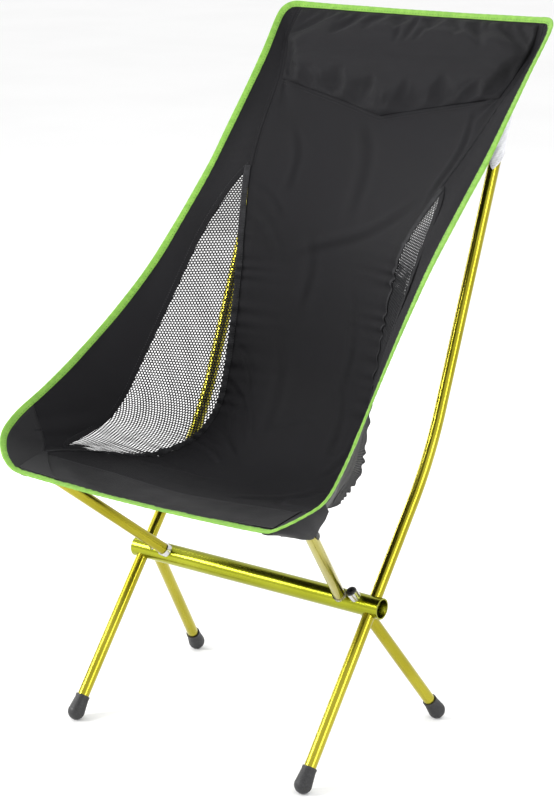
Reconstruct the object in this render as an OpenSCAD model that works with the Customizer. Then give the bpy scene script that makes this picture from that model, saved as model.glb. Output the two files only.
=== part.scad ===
// High-back folding camp chair: a pole frame through one crossbar, with a hung fabric sling.
// Millimetres. +Z is up and -Y is the front, where the sitter's knees are.
// Left and right are as seen from in front of the chair: -X is left, +X is right.

/* [Crossbar] */
// Outside diameter of the crossbar
bar_d = 28; // [27:0.5:30]
// Wall of the crossbar
bar_wall = 1.8; // [1.5:0.1:2.2]
// Length of the crossbar
bar_length = 404; // [400:2:420]
// Height of the crossbar's axis above the ground
bar_height = 200; // [190:1:210]

/* [Poles] */
// Outside diameter of the poles
pole_d = 16; // [15.5:0.1:16.2]
// Wall of the poles
pole_wall = 0.9; // [0.8:0.1:1.1]
// Lean of the front legs and of the back poles' lower ends, from upright
leg_lean = 39; // [38:0.5:40]
// Lean of the upper back poles, from upright
back_lean = 21.8; // [21:0.2:22.6]
// Bend radius of the back poles
bend_radius = 450; // [350:10:500]
// Distance from the crossbar to the corner of the bend, along the pole
bend_reach = 211; // [208:1:214]
// Distance from the bend's corner to the joint of the two back sections
joint_reach = 170; // [150:1:190]
// Distance from the bend's corner to the back pole's tip
tip_reach = 476; // [440:1:477]
// Distance from the crossbar's axis to the seat pole's tip
seat_reach = 280; // [250:1:281]

/* [Hubs] */
// Distance of the leg and back pole line from the middle
leg_x = 187; // [186:0.5:189]
// Distance of the rear leg from the middle, at the crossbar
rear_x = 168; // [167:0.5:169]
// Distance of the seat pole from the middle, at the crossbar
seat_x = 139.3; // [136:0.1:140]
// How far a pole slides over its spigot
spigot_grip = 34; // [30:1:36]
// How far the rear leg's spigot stands out of the crossbar
stub_height = 11; // [8:0.5:12]
// How far the seat pole's socket stands out of the crossbar
collar_height = 5; // [3:0.5:7]

/* [Feet] */
// Radius of a foot's round end
foot_r = 11.6; // [11:0.1:13]
// Length of a foot's sleeve above its round end
foot_sleeve = 20; // [16:1:26]

/* [Sling] */
// Thickness of the sling fabric, with its coating and seams
cloth = 1.5; // [1:0.1:2]
// Width of the folded edge tape
binding_w = 9.4; // [8:0.2:12]
// Thickness of the folded edge tape
binding_t = 3.4; // [2.6:0.2:4]
// Thickness of the headrest's padding at its middle
pad_t = 13; // [8:1:18]
// Width of the tape along the mesh
tape_w = 8; // [6:0.5:10]

/* [Hidden] */

$fn = 48;
eps = 0.01;

// The origin is on the ground under the middle of the chair's outline.
middle_y = 78.55;

// Fits
run = 0.07;          // radial play of a sliding tube
seat_play = 0.05;    // radial play of a piece that doesn't move
pole_r = pole_d / 2;
bore_r = pole_r - pole_wall;
spigot_r = bore_r - run;
hole_r = pole_r + run;
shoulder = 2.2;      // half the ring between the two poles of one line

// Colours
gold = [0.80, 0.76, 0.20];
lime = [0.68, 0.84, 0.33];
silver = [0.80, 0.80, 0.78];
black = [0.10, 0.10, 0.10];
charcoal = [0.16, 0.16, 0.17];
rubber = [0.22, 0.22, 0.23];

// Directions of the poles on the right-hand side, from the crossbar outwards
rear_dir = [0.159, 0.574, -0.803];
seat_dir = [0.294, -0.717, 0.632];

// ---- Placing ----

// The crossbar's axis is the base line of the frame.
module from_bar() {
    translate([0, -middle_y, bar_height]) children();
}

// The right-hand piece as drawn, or its mirror image.
module on_side(side) {
    mirror([side < 0 ? 1 : 0, 0, 0]) children();
}

// Turns +Z to a direction.
module aim(dir) {
    rotate([0, acos(dir[2] / norm(dir)), atan2(dir[1], dir[0])]) children();
}

// Leg and back pole line: +Z runs up the back pole, -Z down the front leg.
module leg_line(side) {
    from_bar() on_side(side) translate([leg_x, 0, 0]) rotate([-leg_lean, 0, 0]) children();
}

// +Z runs down the rear leg.
module rear_line(side) {
    from_bar() on_side(side) translate([rear_x, 0, 0]) aim(rear_dir) children();
}

// +Z runs out along the seat pole.
module seat_line(side) {
    from_bar() on_side(side) translate([seat_x, 0, 0]) aim(seat_dir) children();
}

// +Z runs up the upper back pole, from the corner of the bend.
module back_line(side) {
    leg_line(side) translate([0, 0, bend_reach]) rotate([leg_lean - back_lean, 0, 0]) children();
}

// A tube along +Z from a to b.
module tube(a, b, outer, inner) {
    translate([0, 0, a]) difference() {
        cylinder(r = outer, h = b - a);
        translate([0, 0, -1]) cylinder(r = inner, h = b - a + 2);
    }
}

// ---- Crossbar and its fittings ----

// Half the length of hole that cuts one wall of the crossbar
half_cut = bar_d;
socket_r = pole_r + 0.9;
stub_r = bore_r + 0.3;

module crossbar() color(gold) {
    difference() {
        from_bar() translate([-bar_length / 2, 0, 0]) rotate([0, 90, 0])
            tube(0, bar_length, bar_d / 2, bar_d / 2 - bar_wall);
        for (side = [-1, 1]) {
            leg_line(side) translate([0, 0, -half_cut]) cylinder(r = hole_r, h = 2 * half_cut);
            rear_line(side) cylinder(r = hole_r, h = half_cut);
            rear_line(side) translate([0, 0, -half_cut])
                cylinder(r = stub_r + seat_play, h = half_cut);
            seat_line(side) cylinder(r = socket_r + seat_play, h = half_cut);
        }
    }
}

// The spigot that both poles of the leg line slide over, with a ring between them
module hub_spigot(side) color(silver) {
    leg_line(side) {
        tube(-spigot_grip - shoulder, spigot_grip + shoulder, spigot_r, spigot_r - 1.2);
        tube(-shoulder + eps, shoulder - eps, pole_r - 0.2, spigot_r - 0.5);
    }
}

stub_top = bar_d / 2 + stub_height;

// A stepped spigot: the stub stands out in front, and the rear leg slides over the thin end.
module rear_leg_spigot(side) color(silver) {
    rear_line(side) {
        tube(-stub_top, 0, stub_r, spigot_r - 1.4);
        tube(-eps, spigot_grip, spigot_r, spigot_r - 1.4);
    }
}

// The plug that closes the stub, with a hexagonal recess
module spigot_plug(side) color(black) {
    plug_r = spigot_r - 1.4 - seat_play;
    rear_line(side) translate([0, 0, -stub_top]) difference() {
        union() {
            translate([0, 0, -1.8]) cylinder(r1 = stub_r - 1, r2 = stub_r, h = 1.8 - eps);
            translate([0, 0, -eps]) cylinder(r = plug_r, h = 9);
        }
        translate([0, 0, -2]) cylinder(r = 3, h = 3.6, $fn = 6);
        translate([0, 0, -3]) cylinder(r = 1.2, h = 14);
    }
}

// A blind socket with a proud collar; the seat pole's lower end sits in it.
module seat_socket(side) color(silver) {
    mouth = bar_d / 2 + collar_height;
    seat_line(side) {
        difference() {
            union() {
                translate([0, 0, -7]) cylinder(r = socket_r, h = mouth + 7);
                translate([0, 0, mouth - 2]) cylinder(r = socket_r + 0.6, h = 2);
            }
            translate([0, 0, -5.5]) cylinder(r = hole_r, h = mouth + 7);
            translate([0, 0, -8]) cylinder(r = 1.8, h = 4);
        }
    }
}

// ---- Legs and feet ----

foot_z = foot_r - 0.4;
front_leg_len = (bar_height - foot_z) / cos(leg_lean);
rear_leg_len = (bar_height - foot_z) / -rear_dir[2] * norm(rear_dir);

// The tube of a leg stops short of the foot's round end.
module front_leg(side) color(gold) {
    leg_line(side) mirror([0, 0, 1]) tube(shoulder, front_leg_len - 3, pole_r, bore_r);
}

module rear_leg(side) color(gold) {
    rear_line(side) tube(0.3, rear_leg_len - 3, pole_r, bore_r);
}

// A rubber cap with a ribbed rim, drawn with its round end's centre at the origin.
module foot_cap() {
    difference() {
        union() {
            sphere(r = foot_r);
            translate([0, 0, -foot_sleeve]) cylinder(r1 = foot_r - 2.2, r2 = foot_r, h = foot_sleeve);
            translate([0, 0, -foot_sleeve - 3]) cylinder(r = foot_r - 1.8, h = 3.5);
        }
        translate([0, 0, -foot_sleeve - 4]) cylinder(r = pole_r + seat_play, h = foot_sleeve + 1.4);
    }
}

// Cuts what lies below the ground, so that each foot has a small flat to stand on.
module above_ground() {
    difference() {
        children();
        translate([-500, -500, -50]) cube([1000, 1000, 50]);
    }
}

module front_foot(side) color(rubber) {
    above_ground() leg_line(side) mirror([0, 0, 1]) translate([0, 0, front_leg_len]) foot_cap();
}

module rear_foot(side) color(rubber) {
    above_ground() rear_line(side) translate([0, 0, rear_leg_len]) foot_cap();
}

// ---- Seat poles ----

tip_len = 4;

module seat_pole(side) color(gold) {
    seat_line(side) tube(-5.2, seat_reach - tip_len, pole_r, bore_r);
}

// A rounded end plug, drawn with the tube's end at the origin
module end_plug() {
    difference() {
        union() {
            translate([0, 0, eps]) cylinder(r1 = pole_r - 0.2, r2 = pole_r - 1.6, h = tip_len * 0.5);
            translate([0, 0, tip_len * 0.5]) cylinder(r1 = pole_r - 1.6, r2 = 3.5, h = tip_len * 0.5);
            translate([0, 0, -10]) cylinder(r = bore_r - seat_play, h = 10 + 2 * eps);
        }
        translate([0, 0, -11]) cylinder(r = 1.8, h = 12);
    }
}

module seat_pole_tip(side) color(black) {
    seat_line(side) translate([0, 0, seat_reach - tip_len]) end_plug();
}

// ---- Back poles ----

turn = leg_lean - back_lean;
tangent = bend_radius * tan(turn / 2);
lap = 1;              // how far the upper straight runs over the bend's end
swage = 0.02;         // how much it is thicker there, outside and inside
ferrule_in = 30;
ferrule_out = 42;

// The bent stretch of the back pole
module bent_tube(side) {
    leg_line(side) translate([0, -bend_radius, bend_reach - tangent])
        rotate([90, 0, 90]) rotate_extrude(angle = turn, $fn = 360)
            translate([bend_radius, 0]) difference() {
                circle(r = pole_r, $fn = 48);
                circle(r = bore_r, $fn = 48);
            }
}

module back_pole_lower(side) color(gold) {
    leg_line(side) tube(shoulder, bend_reach - tangent, pole_r, bore_r);
    bent_tube(side);
    back_line(side) tube(tangent - lap, joint_reach, pole_r + swage, bore_r - swage);
}

// The inner sleeve that joins the two back sections; it stays in the lower one.
module back_pole_ferrule(side) color(silver) {
    back_line(side) translate([0, 0, joint_reach])
        tube(-ferrule_in, ferrule_out, spigot_r, spigot_r - 1.1);
}

module back_pole_upper(side) color(gold) {
    back_line(side) tube(joint_reach + 0.2, tip_reach - tip_len, pole_r, bore_r);
}

module back_pole_tip(side) color(black) {
    back_line(side) translate([0, 0, tip_reach - tip_len]) end_plug();
}

// ---- Elastic cords inside the poles ----

cord_r = 1.3;

module front_cord(side) color(black) {
    leg_line(side) translate([0, 0, 40 - front_leg_len])
        cylinder(r = cord_r, h = front_leg_len + bend_reach - tangent - 60, $fn = 16);
}

module rear_cord(side) color(black) {
    rear_line(side) translate([0, 0, 12 - stub_top])
        cylinder(r = cord_r, h = rear_leg_len + stub_top - 60, $fn = 16);
}

module seat_cord(side) color(black) {
    seat_line(side) translate([0, 0, -4]) cylinder(r = cord_r, h = seat_reach - 60, $fn = 16);
}

module back_cord(side) color(black) {
    back_line(side) translate([0, 0, tangent + 2])
        cylinder(r = cord_r, h = tip_reach - tangent - 70, $fn = 16);
}

// ---- Sling ----

// Stations down the chair from the top edge to the front edge, on the right-hand side, with
// the crossbar at y = 0. The edge is where the tape runs, the seam joins the centre panel to the
// side, and the middle is the centre line of the back and seat.
edge_points = [
    [206, 381, 913], [217, 364, 901], [213, 318, 849], [211, 278, 806], [209, 222, 747],
    [206, 176, 702], [205, 104, 637], [208, 48, 586], [217, -17, 533], [230, -85, 483],
    [239, -125, 456], [245, -152, 440], [249, -172, 429], [251, -189, 418], [249, -206, 407],
    [238, -222, 397], [222, -235, 386], [204, -241, 376]
];
seam_points = [
    [199, 383, 912], [202, 358, 876], [193, 333, 844], [182, 305, 812], [167, 244, 752],
    [151, 198, 703], [128, 154, 640], [121, 137, 585], [118, 121, 520], [117, 101, 443],
    [120, 84, 394], [133, 52, 357], [147, -2, 344], [162, -38, 347], [182, -78, 357],
    [196, -130, 371], [203, -183, 380], [200, -239, 373]
];
middle_points = [
    [0, 398, 909], [0, 372, 880], [0, 345, 846], [0, 317, 810], [0, 274, 756],
    [0, 228, 703], [0, 184, 640], [0, 163, 582], [0, 145, 515], [0, 122, 440],
    [0, 90, 384], [0, 44, 342], [0, -12, 328], [0, -75, 336], [0, -128, 350],
    [0, -175, 360], [0, -212, 365], [0, -237, 367]
];

// The mesh runs between these two parts of the way down.
mesh_top = 0.30;
mesh_end = 0.885;
// The headrest's lower seam, part of the way down: at the middle and at the sides
pad_low_middle = 0.212;
pad_low_side = 0.172;

// A smooth curve through stations, at t from 0 to 1 (Catmull-Rom).
function along(p, t) =
    let (n = len(p) - 1, s = min(max(t, 0), 1) * n, i = min(floor(s), n - 1), f = s - i,
         a = p[max(i - 1, 0)], b = p[i], c = p[i + 1], d = p[min(i + 2, n)])
    0.5 * (2 * b + (c - a) * f + (2 * a - 5 * b + 4 * c - d) * f * f
        + (3 * b - a - 3 * c + d) * f * f * f);

// Point of the centre panel: v runs from -1 at the left seam to 1 at the right one.
function centre_point(t, v) =
    let (s = along(seam_points, t), m = along(middle_points, t))
    [s[0] * v, m[1] + (s[1] - m[1]) * v * v - middle_y, m[2] + (s[2] - m[2]) * v * v];

// Point of the right side: w runs from 0 at the seam to 1 at the edge.
function side_point(t, w) =
    let (s = along(seam_points, t), e = along(edge_points, t))
    s + (e - s) * w - [0, middle_y, 0];

// How far the mesh reaches from the seam to the edge
function mesh_reach(t) =
    let (u = (t - mesh_top) / (mesh_end - mesh_top))
    u <= 0 || u >= 1 ? 0 : (0.67 - 0.2 * u) * (1 - pow(2 * u - 1, 8));

// Where the panels stop under the edge tape
function side_limit(t) =
    let (d = norm(along(edge_points, t) - along(seam_points, t)))
    max(0.2, 1 - binding_w * 0.35 / d);

function unit(a) = a / norm(a);

function grid_normal(g, i, j) =
    let (r = len(g) - 1, c = len(g[0]) - 1,
         du = g[min(i + 1, r)][j] - g[max(i - 1, 0)][j],
         dv = g[i][min(j + 1, c)] - g[i][max(j - 1, 0)])
    unit(cross(du, dv));

// A grid of points moved along its normals; h(i, j) is the distance, positive to the sitter's side.
function raised(g, h) = [for (i = [0 : len(g) - 1]) [for (j = [0 : len(g[0]) - 1])
    g[i][j] + grid_normal(g, i, j) * h(i, j)]];

// A closed solid between two grids of points with the same size
module shell(low, high) {
    r = len(low);
    c = len(low[0]);
    function at(k, i, j) = (k * r + i) * c + j;
    faces = concat(
        [for (i = [0 : r - 2], j = [0 : c - 2]) each [
            [at(1, i, j), at(1, i, j + 1), at(1, i + 1, j)],
            [at(1, i, j + 1), at(1, i + 1, j + 1), at(1, i + 1, j)],
            [at(0, i, j), at(0, i + 1, j), at(0, i, j + 1)],
            [at(0, i, j + 1), at(0, i + 1, j), at(0, i + 1, j + 1)]
        ]],
        [for (i = [0 : r - 2]) each [
            [at(0, i, 0), at(1, i, 0), at(1, i + 1, 0)],
            [at(0, i, 0), at(1, i + 1, 0), at(0, i + 1, 0)],
            [at(0, i, c - 1), at(1, i + 1, c - 1), at(1, i, c - 1)],
            [at(0, i, c - 1), at(0, i + 1, c - 1), at(1, i + 1, c - 1)]
        ]],
        [for (j = [0 : c - 2]) each [
            [at(0, 0, j), at(0, 0, j + 1), at(1, 0, j + 1)],
            [at(0, 0, j), at(1, 0, j + 1), at(1, 0, j)],
            [at(0, r - 1, j), at(1, r - 1, j + 1), at(0, r - 1, j + 1)],
            [at(0, r - 1, j), at(1, r - 1, j), at(1, r - 1, j + 1)]
        ]]
    );
    polyhedron(concat([for (row = low) each row], [for (row = high) each row]), faces);
}

// A sheet whose faces lie at two constant distances from a grid of points
module layer(g, low, high) {
    shell(raised(g, function (i, j) low), raised(g, function (i, j) high));
}

rows = 34;
function step(k, n, a, b) = a + (b - a) * k / n;

module centre_panel() color(charcoal) {
    layer([for (i = [0 : rows]) [for (j = [0 : 12])
        centre_point(step(i, rows, 0.004, 0.994), step(j, 12, -1, 1))]], -cloth / 2, cloth / 2);
}

module side_wing(side) color(charcoal) on_side(side) {
    layer([for (i = [0 : rows]) let (t = step(i, rows, 0.012, 0.985), a = mesh_reach(t))
        [for (j = [0 : 3]) side_point(t, step(j, 3, a, side_limit(t)))]], -cloth / 2, cloth / 2);
}

module mesh_panel(side) color(black) on_side(side) {
    layer([for (i = [0 : 22]) let (t = step(i, 22, mesh_top + 0.008, mesh_end - 0.008))
        [for (j = [0 : 4]) side_point(t, step(j, 4, 0, mesh_reach(t)))]], -0.5, 0.5);
}

// A tape on the sitter's side that covers the seam between the mesh and the centre panel
module mesh_tape(side) color(black) on_side(side) {
    layer([for (i = [0 : 26]) let (t = step(i, 26, mesh_top + 0.005, mesh_end + 0.03),
            d = norm(along(edge_points, t) - along(seam_points, t)))
        [for (j = [0 : 1]) side_point(t, tape_w * j / d)]], cloth / 2, cloth / 2 + 1);
}

// A second layer of fabric under the front corner, where the seat pole pushes
module corner_gusset(side) color(charcoal) on_side(side) {
    layer([for (i = [0 : 10]) [for (j = [0 : 4]) let (w = step(j, 4, 0.05, 1))
            side_point(step(i, 10, 0.93 - 0.2 * w, 0.975),
                w * side_limit(step(i, 10, 0.93 - 0.2 * w, 0.975)) * 0.97)]],
        -cloth / 2 - 0.8, -cloth / 2);
}

// Route of the edge tape: points and directions towards the fabric, once round the sling.
function side_run(n, sign) = [for (i = [0 : n])
    let (t = sign > 0 ? i / n : 1 - i / n, p = side_point(t, 1), q = side_point(t, 0.5))
    [[p[0] * sign, p[1], p[2]], [(q[0] - p[0]) * sign, q[1] - p[1], q[2] - p[2]]]];
function end_run(n, t, inner, sign) = [for (i = [1 : n - 1])
    let (v = sign * (1 - 2 * i / n), p = centre_point(t, v))
    [p, centre_point(inner, v) - p]];

module edge_binding() color(lime) {
    run = concat(side_run(44, 1), end_run(12, 1, 0.96, 1), side_run(44, -1),
        end_run(12, 0, 0.04, -1));
    n = len(run);
    sides = 8;
    rings = [for (i = [0 : n - 1])
        let (p = run[i][0], ahead = run[(i + 1) % n][0], back = run[(i + n - 1) % n][0],
             tangent = unit(ahead - back),
             inward = unit(run[i][1] - tangent * (run[i][1] * tangent)),
             normal = cross(tangent, inward))
        [for (k = [0 : sides - 1]) let (a = 360 * (k + 0.5) / sides)
            p + inward * binding_w / 2 * cos(a) + normal * binding_t / 2 * sin(a)]];
    polyhedron([for (ring = rings) each ring], [for (i = [0 : n - 1], k = [0 : sides - 1])
        let (a = i * sides, b = ((i + 1) % n) * sides, m = (k + 1) % sides)
        each [[a + k, b + k, b + m], [a + k, b + m, a + m]]]);
}

// A pillow on the sitter's side between the top edge and a V-shaped seam
function pad_point(u, v) =
    centre_point(step(u, 1, 0.014, pad_low_middle + (pad_low_side - pad_low_middle) * abs(v)), v);

pad_rows = 10;
pad_columns = 20;
pad_side = 0.965;    // how far the pillow reaches towards the side seams

// Height of the pillow over the panel: full in the middle and thin along its seams
function puff(i, j) =
    0.5 + (pad_t - 0.5) * sqrt(1 - pow(2 * i / pad_rows - 1, 4))
        * sqrt(1 - pow(2 * j / pad_columns - 1, 6));

module headrest_pad() color(charcoal) {
    g = [for (i = [0 : pad_rows]) [for (j = [0 : pad_columns])
        pad_point(i / pad_rows, step(j, pad_columns, -pad_side, pad_side))]];
    shell(raised(g, function (i, j) cloth / 2 + 2 * eps),
        raised(g, function (i, j) cloth / 2 + puff(i, j)));
}

// The folded strip under the front edge
module front_hem() color(charcoal) {
    layer([for (i = [0 : 6]) [for (j = [0 : 12])
        centre_point(step(i, 6, 0.86, 0.985), step(j, 12, -0.97, 0.97))]],
        -cloth / 2 - 0.8, -cloth / 2);
}

// ---- Pole pockets ----

pocket_play = 0.6;
pocket_wall = 1.1;

// A hood over the seat pole's end, open below, where the pole comes out as the sling lifts off.
// The angle turns the opening to face down and forward.
module front_pocket(side) color(black) {
    outer = pole_r + pocket_play + pocket_wall;
    seat_line(side) translate([0, 0, 232]) difference() {
        cylinder(r = outer, h = seat_reach - 232 + pocket_play + 0.8);
        translate([0, 0, -1]) cylinder(r = pole_r + pocket_play, h = seat_reach - 231 + pocket_play);
        rotate([0, 0, 5]) translate([0, -outer - 1, -1])
            cube([outer + 1, 2 * outer + 2, seat_reach - 226]);
    }
}

// A sleeve round the upper back pole, with a closed top and a slanted mouth
module back_pocket(side) color(charcoal) {
    mouth = 402;
    outer = pole_r + pocket_play + pocket_wall;
    back_line(side) difference() {
        translate([0, 0, mouth]) cylinder(r = outer, h = tip_reach - mouth + pocket_play + 0.8);
        translate([0, 0, mouth - 1]) cylinder(r = pole_r + pocket_play, h = tip_reach - mouth + 1.3);
        translate([0, 0, mouth]) rotate([28, 0, 0]) translate([-50, -50, -20]) cube([100, 100, 20]);
    }
}

crossbar();
hub_spigot(-1);  // hub_spigot_left
hub_spigot(1);  // hub_spigot_right
rear_leg_spigot(-1);  // rear_leg_spigot_left
rear_leg_spigot(1);  // rear_leg_spigot_right
spigot_plug(-1);  // spigot_plug_left
spigot_plug(1);  // spigot_plug_right
seat_socket(-1);  // seat_socket_left
seat_socket(1);  // seat_socket_right
front_leg(-1);  // front_leg_left
front_leg(1);  // front_leg_right
front_foot(-1);  // front_foot_left
front_foot(1);  // front_foot_right
rear_leg(-1);  // rear_leg_left
rear_leg(1);  // rear_leg_right
rear_foot(-1);  // rear_foot_left
rear_foot(1);  // rear_foot_right
seat_pole(-1);  // seat_pole_left
seat_pole(1);  // seat_pole_right
seat_pole_tip(-1);  // seat_pole_tip_left
seat_pole_tip(1);  // seat_pole_tip_right
back_pole_lower(-1);  // back_pole_lower_left
back_pole_lower(1);  // back_pole_lower_right
back_pole_ferrule(-1);  // back_pole_ferrule_left
back_pole_ferrule(1);  // back_pole_ferrule_right
back_pole_upper(-1);  // back_pole_upper_left
back_pole_upper(1);  // back_pole_upper_right
back_pole_tip(-1);  // back_pole_tip_left
back_pole_tip(1);  // back_pole_tip_right
front_cord(-1);  // front_cord_left
front_cord(1);  // front_cord_right
rear_cord(-1);  // rear_cord_left
rear_cord(1);  // rear_cord_right
seat_cord(-1);  // seat_cord_left
seat_cord(1);  // seat_cord_right
back_cord(-1);  // back_cord_left
back_cord(1);  // back_cord_right
centre_panel();
side_wing(-1);  // side_wing_left
side_wing(1);  // side_wing_right
mesh_panel(-1);  // mesh_panel_left
mesh_panel(1);  // mesh_panel_right
mesh_tape(-1);  // mesh_tape_left
mesh_tape(1);  // mesh_tape_right
corner_gusset(-1);  // corner_gusset_left
corner_gusset(1);  // corner_gusset_right
edge_binding();
headrest_pad();
front_hem();
front_pocket(-1);  // front_pocket_left
front_pocket(1);  // front_pocket_right
back_pocket(-1);  // back_pocket_left
back_pocket(1);  // back_pocket_right
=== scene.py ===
import math
import bmesh
import bpy
import numpy as np
from mathutils import Matrix


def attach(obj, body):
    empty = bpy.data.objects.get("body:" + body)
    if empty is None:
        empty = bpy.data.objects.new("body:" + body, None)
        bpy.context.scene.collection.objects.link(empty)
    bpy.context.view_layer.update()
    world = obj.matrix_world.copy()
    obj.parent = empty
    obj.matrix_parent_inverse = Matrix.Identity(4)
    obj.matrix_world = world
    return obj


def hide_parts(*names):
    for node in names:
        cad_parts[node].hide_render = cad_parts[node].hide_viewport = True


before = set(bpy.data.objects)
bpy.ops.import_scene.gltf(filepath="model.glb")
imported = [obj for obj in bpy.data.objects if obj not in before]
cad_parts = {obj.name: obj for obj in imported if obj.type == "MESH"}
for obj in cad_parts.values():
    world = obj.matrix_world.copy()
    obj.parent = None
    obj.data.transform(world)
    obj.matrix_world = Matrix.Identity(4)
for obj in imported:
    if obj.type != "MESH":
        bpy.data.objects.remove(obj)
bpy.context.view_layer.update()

# Camera, light and floor

cameraPlan = {
    "place": (1.5395, -2.1669, 1.1923),   # metres
    "azimuth": 35.74,                     # degrees, 0 looks along +Y
    "elevation": 16.09,                   # degrees above the horizon
    "lens": 93.5,                         # mm on a 36 mm sensor
}

lightPlan = {
    # name: (place, target, width, height, watts)
    "keyLight": ((-2.2, -2.4, 1.9), (0.0, 0.0, 0.55), 0.9, 0.9, 82),
    "rightStrip": ((2.6, -0.6, 1.2), (0.0, 0.0, 0.4), 0.35, 2.2, 26),
    "leftStrip": ((-2.4, 0.3, 1.3), (0.0, 0.0, 0.5), 0.3, 2.2, 24),
    "rearLight": ((0.4, 2.6, 2.4), (0.0, 0.0, 0.5), 1.6, 1.0, 22),
}

stagePlan = {"floorSize": 30.0, "floorTone": 0.93, "worldTone": 1.0, "worldStrength": 1.02}


def aimed(name, data, place, right, back):
    # an object whose X axis is right and whose -Z axis looks away from back
    turn = np.eye(4)
    turn[:3, 0], turn[:3, 1], turn[:3, 2], turn[:3, 3] = right, np.cross(back, right), back, place
    thing = bpy.data.objects.new(name, data)
    thing.matrix_world = Matrix(turn.tolist())
    bpy.context.scene.collection.objects.link(thing)
    return thing


def addCamera(plan):
    # right and back come from the two angles it is turned by
    az, el = math.radians(plan["azimuth"]), math.radians(plan["elevation"])
    right = np.array([math.cos(az), math.sin(az), 0.0])
    back = np.array([math.sin(az) * math.cos(el), -math.cos(az) * math.cos(el), math.sin(el)])
    data = bpy.data.cameras.new("camera")
    data.sensor_width = 36
    data.lens = plan["lens"]
    bpy.context.scene.camera = aimed("camera", data, plan["place"], right, back)


def addLights(plan):
    # each light's -Z axis points at its target
    for name, (place, target, width, height, watts) in plan.items():
        data = bpy.data.lights.new(name, "AREA")
        data.shape = "RECTANGLE"
        data.size, data.size_y, data.energy = width, height, watts
        back = np.subtract(place, target)
        back = back / np.linalg.norm(back)
        right = np.cross([0, 0, 1], back)
        aimed(name, data, place, right / np.linalg.norm(right), back)


bpy.context.scene.view_settings.view_transform = "Standard"
addCamera(cameraPlan)
addLights(lightPlan)
print("camera and lights are in place")

# Shader groups that several materials share


class nodeDesk:
    # lays nodes in a tree and links them; a value or a socket may be given for each input
    def __init__(self, tree):
        self.tree = tree

    def add(self, kind, inputs=None, **settings):
        # one node, with its inputs' values or links and its own settings
        node = self.tree.nodes.new(kind)
        for key, value in settings.items():
            setattr(node, key, value)
        for key, value in (inputs or {}).items():
            if isinstance(value, bpy.types.NodeSocket):
                self.tree.links.new(value, node.inputs[key])
            else:
                node.inputs[key].default_value = value
        return node

    def math(self, operation, a, b=0.0, c=0.0):
        # one step of arithmetic
        return self.add("ShaderNodeMath", {0: a, 1: b, 2: c}, operation=operation).outputs[0]

    def range(self, value, low, high, toLow=0.0, toHigh=1.0, kind="SMOOTHSTEP"):
        # from low..high to toLow..toHigh
        node = self.add("ShaderNodeMapRange", {"Value": value, "From Min": low, "From Max": high,
                                               "To Min": toLow, "To Max": toHigh}, interpolation_type=kind)
        return node.outputs["Result"]

    def mixColour(self, share, a, b):
        # a where the share is 0, b where it is 1
        node = self.add("ShaderNodeMix", data_type="RGBA")
        for key, value in ((0, share), (6, a), (7, b)):
            if isinstance(value, bpy.types.NodeSocket):
                self.tree.links.new(value, node.inputs[key])
            elif key == 0:
                node.inputs[key].default_value = value
            else:
                node.inputs[key].default_value = (*value, 1.0)
        return node.outputs[2]


def newGroup(name, inputs, outputs):
    # an empty group with float or vector inputs and float outputs
    tree = bpy.data.node_groups.new(name, "ShaderNodeTree")
    for label, value in inputs.items():
        kind = "NodeSocketVector" if value is None else "NodeSocketFloat"
        socket = tree.interface.new_socket(name=label, in_out="INPUT", socket_type=kind)
        if value is not None:
            socket.default_value = value
    for label in outputs:
        tree.interface.new_socket(name=label, in_out="OUTPUT", socket_type="NodeSocketFloat")
    return tree, nodeDesk(tree), tree.nodes.new("NodeGroupInput"), tree.nodes.new("NodeGroupOutput")


def makeWeaveGroup():
    # plain weave: where sin(x) sin(y) is positive the warp is on top and its height is |sin x|,
    # elsewhere the weft is on top and its height is |sin y|
    tree, desk, source, sink = newGroup("plainWeave", {"Vector": None, "Pitch": 0.0006, "Slub": 0.3},
                                        ("Height", "Warp"))
    parts = desk.add("ShaderNodeSeparateXYZ", {0: source.outputs["Vector"]})
    slub = desk.add("ShaderNodeTexNoise", {"Vector": source.outputs["Vector"], "Scale": 260.0, "Detail": 2.0})
    drift = desk.math("MULTIPLY", slub.outputs["Fac"], source.outputs["Slub"])
    waves = []
    for axis in (0, 1):
        turns = desk.math("DIVIDE", parts.outputs[axis], source.outputs["Pitch"])
        turns = desk.math("MULTIPLY", desk.math("ADD", turns, drift), math.pi)
        waves.append(desk.math("SINE", turns))
    over = desk.range(desk.math("MULTIPLY", waves[0], waves[1]), -0.15, 0.15)
    warp, weft = desk.math("ABSOLUTE", waves[0]), desk.math("ABSOLUTE", waves[1])
    height = desk.math("ADD", desk.math("MULTIPLY", over, warp),
                       desk.math("MULTIPLY", desk.math("SUBTRACT", 1.0, over), weft))
    tree.links.new(height, sink.inputs["Height"])
    tree.links.new(over, sink.inputs["Warp"])
    return tree


def makeRibGroup():
    # ribs across a tape: |sin| of the length, with finer threads across its width
    tree, desk, source, sink = newGroup("tapeRibs", {"Vector": None, "Pitch": 0.0011}, ("Height",))
    parts = desk.add("ShaderNodeSeparateXYZ", {0: source.outputs["Vector"]})
    length, width = (desk.math("DIVIDE", parts.outputs[axis], source.outputs["Pitch"]) for axis in (1, 0))
    length, width = desk.math("MULTIPLY", length, math.pi), desk.math("MULTIPLY", width, math.pi * 1.6)
    ribs = desk.math("ABSOLUTE", desk.math("SINE", length))
    threads = desk.math("ABSOLUTE", desk.math("SINE", width))
    height = desk.math("ADD", desk.math("MULTIPLY", ribs, 0.75), desk.math("MULTIPLY", threads, 0.25))
    tree.links.new(height, sink.inputs["Height"])
    return tree


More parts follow.
